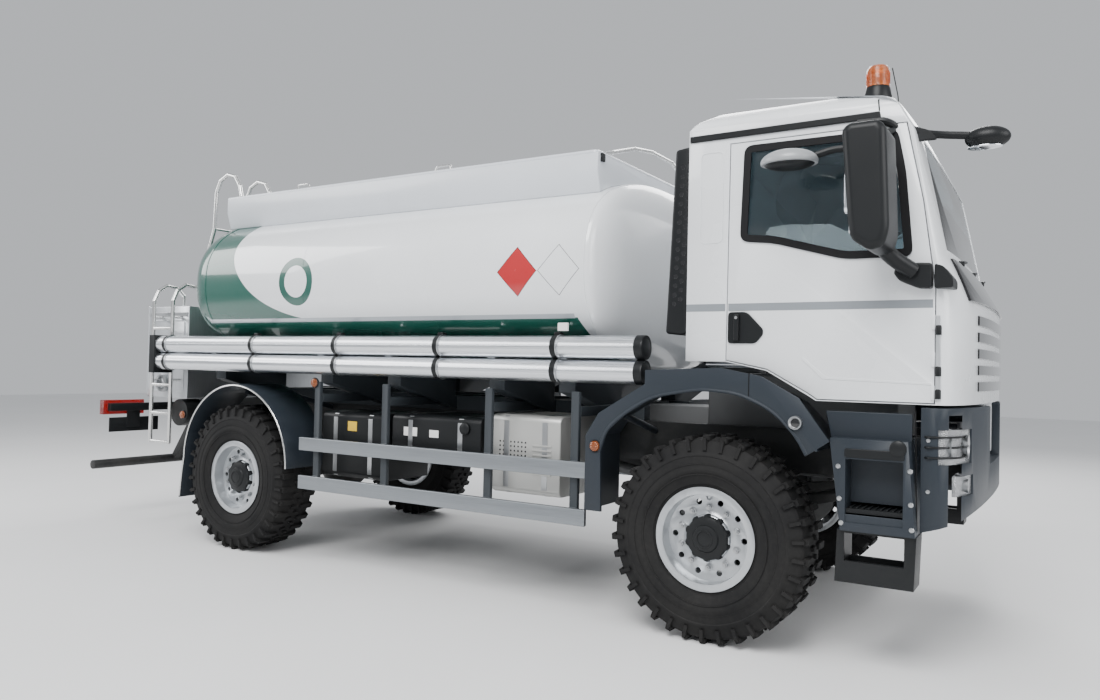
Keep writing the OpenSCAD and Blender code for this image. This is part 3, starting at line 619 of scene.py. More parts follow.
def pick(obj, test, kind="FACE"):
    """In edit mode, selects the elements whose middle (and normal) pass a test; says how many."""
    bpy.ops.mesh.select_mode(type=kind)
    bpy.ops.mesh.select_all(action="DESELECT")
    shape = bmesh.from_edit_mesh(obj.data)
    found = 0
    for item in {"FACE": shape.faces, "EDGE": shape.edges, "VERT": shape.verts}[kind]:
        if kind == "FACE":
            chosen = test(item.calc_center_median(), item.normal)
        elif kind == "EDGE":
            chosen = test((item.verts[0].co + item.verts[1].co) / 2, item.verts[1].co - item.verts[0].co)
        else:
            chosen = test(item.co, item.normal)
        item.select_set(bool(chosen))
        found += bool(chosen)
    shape.select_flush_mode()
    bmesh.update_edit_mesh(obj.data)
    if not found:
        raise RuntimeError("nothing to select on " + obj.name)
    return found


def trace(name, points):
    """A line of vertices through points, left in edit mode with its end selected."""
    clear()
    bpy.ops.mesh.primitive_plane_add(size=0.001, location=points[0])
    obj = settle(name)
    bpy.ops.object.mode_set(mode="EDIT")
    bpy.ops.mesh.select_mode(type="VERT")
    bpy.ops.mesh.select_all(action="SELECT")
    bpy.ops.mesh.merge(type="CENTER")
    for before, after in zip(points, points[1:]):
        step = [b - a for a, b in zip(before, after)]
        bpy.ops.mesh.extrude_region_move(TRANSFORM_OT_translate={"value": step})
    return obj


def filled(name, points):
    """A flat face inside a closed outline, left in edit mode and selected."""
    obj = trace(name, [*points, points[0]])
    bpy.ops.mesh.select_all(action="SELECT")
    bpy.ops.mesh.remove_doubles(threshold=0.00005)
    bpy.ops.mesh.edge_face_add()
    return obj


def outward(obj):
    """Merges doubles, turns the faces outwards and leaves edit mode."""
    only(obj)
    bpy.ops.object.mode_set(mode="EDIT")
    bpy.ops.mesh.select_mode(type="VERT")
    bpy.ops.mesh.select_all(action="SELECT")
    bpy.ops.mesh.remove_doubles(threshold=0.00005)
    bpy.ops.mesh.normals_make_consistent(inside=False)
    bpy.ops.object.mode_set(mode="OBJECT")
    return obj


PLANES = {"xz": (0, 2, 1), "yz": (1, 2, 0), "xy": (0, 1, 2)}


def panel(name, points, plane, low, high, width=0.003, segments=2):
    """A closed outline in a plane, filled and extruded from low to high on the third axis."""
    u, v, w = PLANES[plane]
    path = []
    for point in points:
        spot = [0.0, 0.0, 0.0]
        spot[u], spot[v], spot[w] = point[0], point[1], low
        path.append(spot)
    obj = filled(name, path)
    depth = [0.0, 0.0, 0.0]
    depth[w] = high - low
    bpy.ops.mesh.extrude_region_move(TRANSFORM_OT_translate={"value": depth})
    outward(obj)
    return softened(obj, width, segments) if width else obj


def lathe(name, profile, centre, axis="y", steps=48, close=False):
    """A profile of (radius, place along the axis) spun round an axis through a centre."""
    turn = {"x": (1, 0, 0), "y": (0, 1, 0), "z": (0, 0, 1)}[axis]
    out = {"x": 2, "y": 0, "z": 0}[axis]
    along = {"x": 0, "y": 1, "z": 2}[axis]
    path = []
    for radius, height in profile:
        spot = list(centre)
        spot[out] += radius
        spot[along] += height
        path.append(spot)
    if close:
        path.append(path[0])
    obj = trace(name, path)
    bpy.ops.mesh.select_all(action="SELECT")
    bpy.ops.mesh.spin(steps=steps, angle=2 * math.pi, center=centre, axis=turn)
    return smooth(outward(obj))


def smooth(obj, angle=35):
    only(obj)
    bpy.ops.object.shade_smooth_by_angle(angle=math.radians(angle))
    return obj


def modified(obj, kind, **settings):
    """Adds a modifier, sets it and applies it."""
    only(obj)
    modifier = obj.modifiers.new(kind.lower(), kind)
    for label, value in settings.items():
        setattr(modifier, label, value)
    bpy.ops.object.modifier_apply(modifier=modifier.name)
    return obj


def softened(obj, width=0.003, segments=2, angle=35):
    """Bevels the sharp edges and shades the rest smooth."""
    only(obj)
    bpy.ops.object.shade_smooth()
    modified(obj, "BEVEL", width=width, segments=segments, limit_method="ANGLE",
             angle_limit=math.radians(angle),
             harden_normals=True, use_clamp_overlap=True)
    return obj


def rounded(points, bend):
    """A path with its corners turned into short arcs."""
    points = [Vector(p) for p in points]
    if not bend:
        return points
    path = [points[0]]
    for before, corner, after in zip(points, points[1:], points[2:]):
        reach = min(bend, (before - corner).length * 0.49, (after - corner).length * 0.49)
        start = corner + (before - corner).normalized() * reach
        end = corner + (after - corner).normalized() * reach
        for step in range(7):
            t = step / 6
            path.append(start * (1 - t) ** 2 + corner * 2 * t * (1 - t) + end * t ** 2)
    return path + [points[-1]]


def tube(name, points, radius, bend=0.04, detail=3, loop=False):
    """A round tube along a path, made as a curve and turned into a closed mesh."""
    clear()
    curve = bpy.data.curves.new(name, "CURVE")
    curve.dimensions = "3D"
    curve.bevel_depth = radius
    curve.bevel_resolution = detail
    curve.use_fill_caps = not loop
    path = rounded(points, bend)
    spline = curve.splines.new("POLY")
    spline.points.add(len(path) - 1)
    for spot, place in zip(spline.points, path):
        spot.co = (*place, 1.0)
    spline.use_cyclic_u = loop
    obj = bpy.data.objects.new(name, curve)
    bpy.context.collection.objects.link(obj)
    only(obj)
    bpy.ops.object.convert(target="MESH")
    return smooth(outward(bpy.context.object))


def copied(obj, name, matrix=None):
    """A copy with its own mesh, moved in its mesh."""
    twin = obj.copy()
    twin.data = obj.data.copy()
    twin.name = twin.data.name = name
    bpy.context.collection.objects.link(twin)
    if matrix is not None:
        twin.data.transform(matrix)
        if matrix.determinant() < 0:
            twin.data.flip_normals()
    return twin


def shift(x=0.0, y=0.0, z=0.0):
    return Matrix.Translation((x, y, z))


def turn_about(centre, angle, axis):
    """A turn in degrees about an axis through a centre."""
    spot = Matrix.Translation(centre)
    return spot @ Matrix.Rotation(math.radians(angle), 4, axis) @ spot.inverted()


ACROSS = Matrix.Diagonal((1, -1, 1, 1))


def spread(obj, count, centre, axis="Y"):
    """Copies of a piece at even turns about an axis, with the first."""
    turns = [copied(obj, obj.name, turn_about(centre, 360 * i / count, axis)) for i in range(1, count)]
    return [obj] + turns


def joined(name, parts):
    """One object of several pieces."""
    parts = [p for p in parts if p]
    clear()
    for part in parts:
        part.select_set(True)
    bpy.context.view_layer.objects.active = parts[0]
    if len(parts) > 1:
        bpy.ops.object.join()
    obj = bpy.context.object
    obj.name = obj.data.name = name
    return obj


def fitted(name, body, parts, replaces=()):
    """Joins parts into one piece, rides it on a body and hides the frame nodes it replaces."""
    obj = joined(name, parts)
    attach(obj, body)
    if replaces:
        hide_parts(*replaces)
    return obj


def both(obj):
    """A piece and its mirror image on the other side."""
    return [obj, copied(obj, obj.name, ACROSS)]


def pair(obj, look):
    """A piece in its finish, on both sides."""
    return both(coat(obj, look))


def dressed(node, finish_name, body, width=0.004, angle=32, extra=(), split=(), segments=2, crown=None):
    """A frame node's own shape with merged faces, soft edges and a finish, standing for the node.
    Each test in split picks the faces of the next finish in finish_name."""
    names = finish_name if isinstance(finish_name, tuple) else (finish_name,)
    twin = copied(NODES[node], node + "_body")
    twin.parent = None
    twin.data.materials.clear()
    for name in names:
        twin.data.materials.append(get(name))
    only(twin)
    bpy.ops.object.mode_set(mode="EDIT")
    bpy.ops.mesh.select_mode(type="VERT")
    bpy.ops.mesh.select_all(action="SELECT")
    bpy.ops.mesh.remove_doubles(threshold=0.0001)
    bpy.ops.mesh.dissolve_limited(angle_limit=math.radians(0.6))
    for index, test in enumerate(split, 1):
        pick(twin, test)
        twin.active_material_index = index
        bpy.ops.object.material_slot_assign()
    if crown:
        pick(twin, lambda c, v: c.z > crown, "EDGE")
        bpy.ops.mesh.bevel(offset=0.04, segments=5)
    bpy.ops.object.mode_set(mode="OBJECT")
    softened(twin, width, segments, angle)
    return fitted(node + "_body", body, [twin, *extra], replaces=[node])


# ---------------------------------------------------------------- the pieces


def rounded_loop(points, bend):
    """A closed 2D outline with its corners turned into short arcs."""
    path = []
    count = len(points)
    for i in range(count):
        before, corner, after = (Vector(points[(i + k) % count]) for k in (-1, 0, 1))
        reach = min(bend, (before - corner).length * 0.45, (after - corner).length * 0.45)
        start = corner + (before - corner).normalized() * reach
        end = corner + (after - corner).normalized() * reach
        for step in range(5):
            t = step / 4
            path.append(tuple(start * (1 - t) ** 2 + corner * 2 * t * (1 - t) + end * t ** 2))
    return path


def framed(name, points, y, width, proud):
    """A flat band just inside a closed outline, standing proud of a side surface at y."""
    obj = filled(name, [(x, y + 0.004, z) for x, z in points])
    bpy.ops.mesh.inset(thickness=width, depth=0, use_even_offset=True)
    bpy.ops.mesh.delete(type="FACE")
    bpy.ops.mesh.select_all(action="SELECT")
    bpy.ops.mesh.extrude_region_move(TRANSFORM_OT_translate={"value": (0, -proud - 0.004, 0)})
    outward(obj)
    return softened(obj, min(0.004, proud * 0.45), 2)


def pod(name, centre, radii, flat):
    """A rounded pod: a sphere stretched to its radii and cut flat below."""
    obj = primitive(name, "uv_sphere", segments=40, ring_count=20, radius=1, location=(0, 0, 0))
    only(obj)
    bpy.ops.object.mode_set(mode="EDIT")
    bpy.ops.mesh.select_all(action="SELECT")
    bpy.ops.transform.resize(value=radii)
    bpy.ops.transform.translate(value=centre)
    if flat:
        floor_z = centre[2] - radii[2] * (1 - flat)
        bpy.ops.mesh.bisect(plane_co=(centre[0], centre[1], floor_z), plane_no=(0, 0, 1), use_fill=True,
                            clear_inner=True)
    bpy.ops.object.mode_set(mode="OBJECT")
    return softened(outward(obj), 0.006, 3)


def bent_bar(name, z, height, half_w, proud):
    """A flat bar across the cab's curved front, standing proud of it."""
    points = []
    front_x, side_x = fx(1.318), fx(1.145)
    for i in range(-12, 13):
        y = half_w * i / 12
        c = max(0.0, 1 - (abs(y) / CAB_Y) ** 2.22) ** 0.45
        points.append((side_x + (front_x - side_x) * c + proud * 0.5, y))
    outline = points + [(x - proud, y) for x, y in reversed(points)]
    return panel(name, outline, "xy", z - height / 2, z + height / 2, 0.004)


def superellipse(half_w, half_h, z, count, power=2.45):
    """Points of an oval fuller than an ellipse."""
    points = []
    for i in range(count):
        angle = 2 * math.pi * i / count
        c, s = math.cos(angle), math.sin(angle)
        points.append((math.copysign(abs(c) ** (2 / power), c) * half_w,
                       z + math.copysign(abs(s) ** (2 / power), s) * half_h))
    return points


class TANKER_OT_vessel(bpy.types.Operator):
    """Tank shell with domed ends, seams and the silver strip"""

    bl_idname = "tanker.vessel"
    bl_label = "Tank vessel"

    def execute(self, context):
        low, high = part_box("tank_vessel")
        half_w, half_h = (high.y - low.y) / 2, (high.z - low.z) / 2
        axis_z = (high.z + low.z) / 2
        front, rear = fx(-0.79), REAR_X - 0.43
        ring = [(front, y, z) for y, z in superellipse(half_w, half_h, axis_z, 144)]
        obj = filled("tank_shell", ring)
        self.dome(obj, 1, high.x - front, 2.4, axis_z, front)
        pick(obj, lambda c, n: c.x < front + 0.001 and abs(n.x) > 0.9)
        bpy.ops.mesh.extrude_region_move(TRANSFORM_OT_translate={"value": (rear - front, 0, 0)})
        self.dome(obj, -1, rear - low.x, 2.2, axis_z, rear)
        outward(obj)
        smooth(obj, 30)
        coat(obj, "tank")
        parts = [obj]
        for x, proud in ((front, 0.004), (rear, 0.003), (fx(-2.0), 0.0015), (fx(-3.2), 0.0015)):
            band = self.band(x, 0.012, proud, half_w, half_h, axis_z)
            parts.append(coat(band, "tank"))
        fitted("tank_shell", "chassis", parts, replaces=["tank_vessel"])
        clear()
        return {"FINISHED"}

    def dome(self, obj, way, depth, power, axis_z, start):
        """Extrudes the end face outwards in shrinking steps."""
        steps = 14
        last_reach, last_scale = 0.0, 1.0
        pick(obj, lambda c, n: abs(c.x - start) < 0.001 and abs(n.x) > 0.9)
        for i in range(1, steps + 1):
            reach = math.sin(math.pi / 2 * i / steps)
            scale = max((1 - reach ** power) ** (1 / power), 0.05) if i < steps else 0.05
            bpy.ops.mesh.extrude_region_move(
                TRANSFORM_OT_translate={"value": (way * depth * (reach - last_reach), 0, 0)})
            factor = scale / last_scale
            bpy.ops.transform.resize(value=(1, factor, factor),
                                     center_override=(start + way * depth * reach, 0, axis_z))
            last_reach, last_scale = reach, scale

    def band(self, x, width, proud, half_w, half_h, axis_z):
        """A narrow raised seam round the shell."""
        ring = [(x - width / 2, y, z) for y, z in superellipse(half_w + proud, half_h + proud, axis_z, 96)]
        obj = trace("tank_seam", ring + ring[:1])
        bpy.ops.mesh.select_all(action="SELECT")
        bpy.ops.mesh.remove_doubles(threshold=0.0001)
        bpy.ops.mesh.extrude_region_move(TRANSFORM_OT_translate={"value": (width, 0, 0)})
        outward(obj)
        modified(obj, "SOLIDIFY", thickness=proud + 0.002, offset=-1)
        return smooth(outward(obj))


class TANKER_OT_tyres(bpy.types.Operator):
    """Off-road tyres with tread blocks, and rims with studs and hub caps"""

    bl_idname = "tanker.tyres"
    bl_label = "Tyres and rims"

    def execute(self, context):
        tyre = self.tyre()
        rim = self.rim_parts()
        for axle, x in (("front", AXLE_X), ("rear", REAR_X)):
            for side, way in SIDES.items():
                body = f"wheel_{axle}_{side}"
                place = shift(x, way * WHEEL_Y, AXLE_Z) @ Matrix.Diagonal((1, way, 1, 1))
                fitted(f"{body}_tyre", body, [copied(tyre, body + "_tyre", place)],
                       replaces=[f"tyre_{axle}_{side}"])
                trims = [copied(part, part.name, place) for part in rim]
                dressed(f"rim_{axle}_{side}", "wheel", body, width=0.003, extra=trims)
        for part in [tyre, *rim]:
            bpy.data.objects.remove(part)
        clear()
        return {"FINISHED"}

    def tyre(self):
        """A tyre at the origin with its axle along y and its outer side towards +y."""
        half = (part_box("tyre_front_right")[1].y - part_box("tyre_front_right")[0].y) / 2
        depth = sizes().lug_depth
        r = TYRE_R - depth
        section = [(0.262, 0.118), (0.268, 0.140), (0.284, 0.150), (0.297, 0.152), (0.302, 0.160),
                   (0.330, half - 0.012), (0.365, half - 0.003), (0.372, half), (0.384, half),
                   (0.390, half - 0.002), (0.425, half - 0.004), (0.450, half - 0.008), (0.456, half - 0.005),
                   (0.470, half - 0.008), (0.476, half - 0.013), (r - 0.026, half - 0.020),
                   (r - 0.008, half - 0.034), (r, 0.118), (r + 0.004, 0.050)]
        profile = section + [(radius, -y) for radius, y in reversed(section)]
        carcass = lathe("carcass", profile, (0, 0, 0), "y", 96)
        parts = [carcass]
        count = sizes().lug_count
        top = TYRE_R - 0.0008
        for way in (1, -1):
            shoulder = self.lug([(0.052, -0.016), (0.052, 0.020), (0.098, 0.025), (0.150, 0.023),
                                 (0.160, 0.017), (0.160, -0.018), (0.100, -0.020)], way, r - 0.006, top)
            buttress = self.lug([(0.148, -0.014), (0.148, 0.014), (half - 0.004, 0.010),
                                 (half - 0.004, -0.010)], way, r - 0.060, r + 0.004, lean=0.05)
            block = self.lug([(0.004, -0.016), (0.004, 0.004), (0.030, 0.016), (0.047, 0.014),
                              (0.047, -0.008), (0.024, -0.016)], way, r, top)
            half_step = 0 if way > 0 else 0.5
            for i in range(count):
                angle = 360 * (i + half_step) / count
                parts.append(copied(shoulder, "lug", turn_about((0, 0, 0), angle, "Y")))
                parts.append(copied(buttress, "lug", turn_about((0, 0, 0), angle, "Y")))
                parts.append(copied(block, "lug", turn_about((0, 0, 0), angle + 180 / count, "Y")))
            for part in (shoulder, buttress, block):
                bpy.data.objects.remove(part)
        for radius in (0.355, 0.41):
            ring = lathe("wall_ring", [(radius - 0.004, half - 0.012), (radius - 0.003, half - 0.001),
                                       (radius + 0.003, half - 0.001), (radius + 0.004, half - 0.012)],
                         (0, 0, 0), "y", 64)
            parts.append(ring)
        return coat(joined("tyre", parts), "tyre")

    def lug(self, outline, way, low, high, lean=0.0):
        """One tread block at the top of the tyre: outline of (y, x), narrower at its top."""
        path = [(x, way * y) for y, x in outline]
        obj = panel("lug", path, "xy", low, high, width=0)
        only(obj)
        bpy.ops.object.mode_set(mode="EDIT")
        pick(obj, lambda c, n: n.z > 0.9)
        middle_y = way * sum(y for y, x in outline) / len(outline)
        bpy.ops.transform.resize(value=(0.84, 0.95, 1),
                                 center_override=(0, middle_y - way * lean * 0.2, high))
        bpy.ops.object.mode_set(mode="OBJECT")
        return obj

    def rim_parts(self):
        """Hub cap, studs, nuts and valve for a wheel at the origin, outer side towards +y."""
        disc = 0.078
        cap = lathe("hub_cap", [(0.0, disc + 0.074), (0.050, disc + 0.073), (0.070, disc + 0.066),
                                (0.076, disc + 0.056), (0.100, disc + 0.053), (0.116, disc + 0.046),
                                (0.122, disc + 0.030), (0.122, disc - 0.002)], (0, 0, 0), "y", 48)
        parts = [coat(cap, "black")]
        lobe = lathe("cap_lobe", [(0.0, disc + 0.050), (0.018, disc + 0.048), (0.025, disc + 0.036),
                                  (0.026, disc)], (0, 0, 0.106), "y", 14)
        for piece in spread(lobe, 10, (0, 0, 0)):
            parts.append(coat(piece, "black"))
        badge = lathe("cap_ring", [(0.040, disc + 0.073), (0.042, disc + 0.0765), (0.048, disc + 0.0765),
                                   (0.050, disc + 0.072)], (0, 0, 0), "y", 40)
        parts.append(coat(badge, "black"))
        stud = lathe("stud", [(0.0, disc + 0.036), (0.009, disc + 0.035), (0.010, disc + 0.018),
                              (0.010, disc)], (0, 0, 0), "y", 10)
        nut = lathe("nut", [(0.009, disc + 0.024), (0.015, disc + 0.023), (0.017, disc + 0.017),
                            (0.017, disc + 0.004), (0.022, disc + 0.003), (0.022, disc - 0.004)], (0, 0, 0),
                    "y", 6)
        bolt = joined("stud", [coat(stud, "steel"), coat(nut, "steel")])
        bolt.data.transform(shift(z=sizes().stud_circle / 2))
        parts += spread(bolt, sizes().stud_count, (0, 0, 0))
        valve = tube("valve", [(0, disc - 0.01, 0.205), (0, disc + 0.030, 0.212), (0, disc + 0.045, 0.228)],
                     0.005)
        parts.append(coat(valve, "steel"))
        return parts


class TANKER_OT_frame(bpy.types.Operator):
    """Frame, axles, springs and other nodes that keep their own shape"""

    bl_idname = "tanker.frame"
    bl_label = "Frame and running gear"

    def execute(self, context):
        kept = [
            ("frame_rails", "chassis", "chassis", "chassis_black", 0.003),
            ("axles", "chassis", "chassis", "chassis_black", 0.006),
            ("leaf_springs", "chassis", "chassis", "spring_steel", 0.003),
            ("engine", "iron", "chassis", "engine_iron", 0.02),
            ("driveline", "iron", "chassis", "engine_iron", 0.010),
            ("air_tanks", "chassis", "chassis", "chassis_black", 0.004),
            ("underrun_bar", "chassis", "chassis", "chassis_black", 0.004),
            ("knuckle_right", "iron", "right_knuckle", "engine_iron", 0.005),
            ("knuckle_left", "iron", "left_knuckle", "engine_iron", 0.005),
            ("tank_cradle", "post", "chassis", "green_paint", 0.004),
            ("tank_coaming", "coaming", "chassis", "tank_paint", 0.008),
            ("manhole_lid", "sheet", "manhole_cover", "sheet_aluminium", 0.004),
            ("ladder", "stainless", "chassis", "stainless", 0.003),
            ("rear_cabinet", "sheet", "chassis", "sheet_aluminium", 0.006),
            ("cabinet_door", "sheet", "rear_door", "sheet_aluminium", 0.006),
            ("fuel_tanks", "black", "chassis", "sheet_aluminium", 0.008),
            ("silencer", "silencer", "chassis", "sheet_aluminium", 0.010),
            ("storage_boxes", "black", "chassis", "black_plastic", 0.010),
            ("fenders", "anthracite", "chassis", "anthracite_plastic", 0.004),
            ("front_bumper", "anthracite", "chassis", "anthracite_plastic", 0.010),
        ]
        for node, look, body, slot, width in kept:
            dressed(node, look, body, width)
        dressed("entry_steps", ("anthracite", "black"), "chassis", 0.006,
                split=[lambda c,
                       n: c.z < 0.702 or (0.785 < c.z < 0.815 and fx(0.74) < c.x < fx(1.01))])
        guard_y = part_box("side_guards")[1].y - 0.030
        dressed("side_guards", ("rail", "post"), "chassis", 0.006, split=[
            lambda c, n: abs(c.y) < guard_y - 0.001 or (abs(c.y) < guard_y + 0.001 and c.y * n.y > 0)])
        dressed("lamps", ("lamp", "black", "red_lens"), "chassis", 0.004, split=[
            lambda c, n: c.x < 0, lambda c, n: c.x < REAR_X - 1.8095 and c.z > 0.965 and abs(c.y) > 0.80])
        clear()
        return {"FINISHED"}


class TANKER_OT_tubes(bpy.types.Operator):
    """Hose tubes with black ends, bands and clips"""

    bl_idname = "tanker.tubes"
    bl_label = "Hose tubes"

    def execute(self, context):
        front, rear = fx(-0.4345), REAR_X - 1.0395
        centres = [(-1.150, 1.464), (-1.150, 1.608)]
        radius = 0.070
        parts = []
        for y, z in centres:
            for x in (-4.83, -3.735, -2.833, -1.895, -0.981):
                band = lathe("tube_band", [(radius - 0.001, -0.020), (radius + 0.0045, -0.019),
                                           (radius + 0.0045, 0.019), (radius - 0.001, 0.020)], (fx(x), y, z),
                             "x", 48)
                edge = lathe("band_edge", [(radius - 0.001, -0.004), (radius + 0.0075, -0.003),
                                           (radius + 0.0075, 0.003), (radius - 0.001, 0.004)],
                             (fx(x) + 0.024, y, z), "x", 48)
                parts += pair(band, "black") + pair(edge, "steel")
        for x in (-3.735, -2.833, -1.895, -0.981):
            clip = box("tube_clip", (fx(x) - 0.022, -1.165, 1.674), (fx(x) + 0.022, -1.120, 1.700), 0.006)
            parts += pair(clip, "black")
        for y, z in centres:
            cap = lathe("tube_cap", [(0, 0.041), (0.050, 0.0405), (0.058, 0.037), (0.066, 0.036),
                                     (0.0725, 0.030), (0.0725, -0.012)], (fx(-0.425), y, z), "x", 48)
            parts += pair(cap, "black")
        dressed("hose_tubes", ("anodised", "black"), "chassis", 0.004, extra=parts, split=[
            lambda c, n: c.x > front or c.x < rear or abs(c.y) < 1.10])
        clear()
        return {"FINISHED"}


class TANKER_OT_markers(bpy.types.Operator):
    """Amber side markers, round fender lamps and the rear fenders' white edge"""

    bl_idname = "tanker.markers"
    bl_label = "Markers and fender trim"

    def execute(self, context):
        parts = []
        for x, y, z in ((-0.673, -1.2145, 1.028), (-3.058, -1.1695, 1.330), (-4.62, -1.160, 1.02)):
            base = lathe("marker_base", [(0, -0.006), (0.036, -0.006), (0.038, -0.002), (0.038, 0.006)],
                         (fx(x), y, z), "y", 28)
            lens = lathe("marker_lens", [(0, -0.020), (0.018, -0.019), (0.028, -0.014), (0.032, -0.005)],
                         (fx(x), y, z), "y", 28)
            parts += pair(base, "black") + pair(lens, "amber")
        bowl = lathe("fender_lamp", [(0.0, -0.006), (0.020, -0.010), (0.028, -0.020), (0.034, -0.020),
                                     (0.037, -0.010), (0.037, 0.004)], (fx(0.493), -1.215, 1.225), "y", 32)
        glass = lathe("fender_lens", [(0, -0.016), (0.016, -0.015), (0.027, -0.011)],
                      (fx(0.493), -1.215, 1.225), "y", 28)
        parts += pair(bowl, "steel") + pair(glass, "gloss_black")
        arch_y, arch_z, arch_r = -1.219, 0.680, 0.607
        path = []
        for i in range(37):
            angle = math.radians(5 * i)
            path.append((REAR_X + arch_r * math.cos(angle), arch_y, arch_z + arch_r * math.sin(angle)))
        path += [(REAR_X - 0.628, arch_y, 0.560), (REAR_X - 0.651, arch_y, 0.360)]
        parts += both(coat(tube("fender_piping", path, 0.0065, 0), "stainless"))
        seam = panel("fender_seam", from_axle([(0.240, 1.345), (0.246, 1.345), (0.246, 1.476),
                                               (0.240, 1.476)]), "xz", -1.2165, -1.200, 0.0005, 1)
        parts += pair(seam, "rubber")
        lip = [(fx(x), z) for x,
               z in ((0.548, 1.066), (0.497, 1.158), (0.374, 1.284), (0.186, 1.368), (-0.028, 1.384),
                                       (-0.314, 1.334), (-0.486, 1.233), (-0.610, 1.126), (-0.650, 1.000))]
        parts += both(coat(tube("fender_lip", [(x, -1.210, z) for x, z in lip], 0.011, 0.08), "anthracite"))
        fitted("side_markers", "chassis", parts)
        clear()
        return {"FINISHED"}


class TANKER_OT_boxes(bpy.types.Operator):
    """Straps, caps, vents and blank labels on the boxes along the frame"""

    bl_idname = "tanker.boxes"
    bl_label = "Box fittings"

    def execute(self, context):
        parts = []
        spans = [("right", -3.090, -2.470, 1.050, 0.640, 1.120),
                 ("right", -2.390, -1.615, 1.060, 0.860, 1.135),
                 ("right", -1.515, -0.995, 1.070, 0.670, 1.175),
                 ("left", -1.950, -0.995, 1.060, 0.680, 1.120),
                 ("left", -3.090, -2.120, 1.050, 0.660, 1.120)]
        inside, thick = 0.570, 0.004
        for side, x0, x1, y, z0, z1 in spans:
            for k in (0.22, 0.78):
                x = fx(x0 + (x1 - x0) * k)
                edge = [(-inside, z1 + 0.002), (-y + 0.045, z1 + 0.002), (-y + 0.012, z1 - 0.012),
                        (-y - 0.002, z1 - 0.045), (-y - 0.002, z0 + 0.045), (-y + 0.012, z0 + 0.012),
                        (-y + 0.045, z0 - 0.002), (-inside, z0 - 0.002)]
                inner = [(p + thick if p < -0.6 else p, q - thick if q > (z0 + z1) / 2 else q + thick)
                         for p, q in reversed(edge)]
                strap = panel("strap", edge + inner, "yz", x - 0.020, x + 0.020, 0.001, 1)
                coat(strap, "steel")
                parts.append(strap if side == "right" else self.across(strap))
        for i in range(7):
            louvre = box("louvre", (fx(-1.20), -1.0765, 0.80 + 0.030 * i),
                         (fx(-1.06), -1.066, 0.812 + 0.030 * i), 0.003)
            parts.append(coat(louvre, "silencer"))
        # Shallow gloss-black dishes stand for the silencer cover's holes: their black is painted shade of the
        # holes' insides.
        for i in range(8):
            for j in range(6):
                hole = lathe("silencer_hole_painted_dark", [(0, -0.0015), (0.006, -0.001), (0.0075, 0.001)],
                             (fx(-1.45 + 0.028 * i), -1.070, 0.86 + 0.028 * j), "y", 8)
                parts.append(coat(hole, "gloss_black"))
        labels = [(-2.28, -2.16, 0.985, 1.045, "placard_white"), (-2.05, -1.97, 0.985, 1.035, "placard_white"),
                  (-2.83, -2.74, 0.985, 1.055, "label_yellow")]
        for x0, x1, z0, z1, look in labels:
            y = 1.060 if x0 > -2.5 else 1.050
            label = box("blank_label", (fx(x0), -y - 0.0015, z0), (fx(x1), -y + 0.002, z1), 0.0006, 1)
            parts.append(coat(label, look))
        cap = lathe("filler_cap", [(0, -0.030), (0.030, -0.029), (0.040, -0.022), (0.042, 0.0)],
                    (fx(-1.74), -1.055, 1.06), "y", 28)
        parts.append(coat(cap, "black"))
        fitted("box_fittings", "chassis", parts)
        clear()
        return {"FINISHED"}

    def across(self, obj):
        """The piece moved to the other side"""
        twin = copied(obj, obj.name, ACROSS)
        bpy.data.objects.remove(obj)
        return twin


class TANKER_OT_steps(bpy.types.Operator):
    """Ribbed treads, screws and a filler cap on the entry steps"""

    bl_idname = "tanker.steps"
    bl_label = "Step fittings"

    def execute(self, context):
        parts = []
        for z, x0, x1, y0, y1 in ((0.8135, 0.745, 1.005, -1.170, -0.92),
                                  (0.4745, 0.745, 1.005, -1.150, -1.03)):
            for i in range(9):
                x = x0 + 0.016 + (x1 - x0 - 0.032) * i / 8
                rib = box("tread_rib", (fx(x) - 0.005, y0, z - 0.002), (fx(x) + 0.005, y1, z + 0.006), 0.002,
                          1)
                parts += pair(rib, "black")
        covers = [panel("step_cover", rounded_loop(from_axle([(0.732, 0.830), (1.018, 0.830), (1.018, 1.068),
                                                              (0.732, 1.068)]), 0.008), "xz", -1.070, -1.060,
                        0.003), panel("step_cover", rounded_loop(from_axle([(0.732, 0.735), (1.018, 0.735),
                                                                            (1.018, 0.785), (0.732, 0.785)]),
                                                                 0.008), "xz", -1.198, -1.190, 0.003),
                  panel("step_recess", rounded_loop(from_axle([(0.650, 1.150), (1.035, 1.150), (1.035, 1.292),
                                                               (0.620, 1.292)]), 0.012), "xz", -1.120, -1.105,
                        0.004)]
        for cover in covers:
            parts += pair(cover, "anthracite")
        tread = panel("tread_edge", rounded_loop(from_axle([(0.735, 1.068), (1.015, 1.068), (1.015, 1.112),
                                                        (0.735, 1.112)]), 0.012), "xz", -1.2115, -1.19, 0.004)
        parts += pair(tread, "black")
        cap = lathe("washer_cap", [(0, -0.014), (0.030, -0.013), (0.038, -0.008), (0.040, 0.002)],
                    (fx(0.985), -1.205, 1.125), "y", 28)
        parts += pair(cap, "black")
        screw = lathe("step_screw", [(0, -0.006), (0.010, -0.005), (0.013, -0.001), (0.013, 0.004)],
                      (0, -1.205, 0), "y", 14)
        for x, z in ((0.705, 1.02), (0.712, 0.86), (0.722, 0.74), (1.040, 1.02), (1.045, 0.86),
                     (1.050, 0.74)):
            parts += both(coat(copied(screw, "step_screw", shift(fx(x), 0, z)), "steel"))
        bpy.data.objects.remove(screw)
        fitted("step_fittings", "chassis", parts)
        clear()
        return {"FINISHED"}


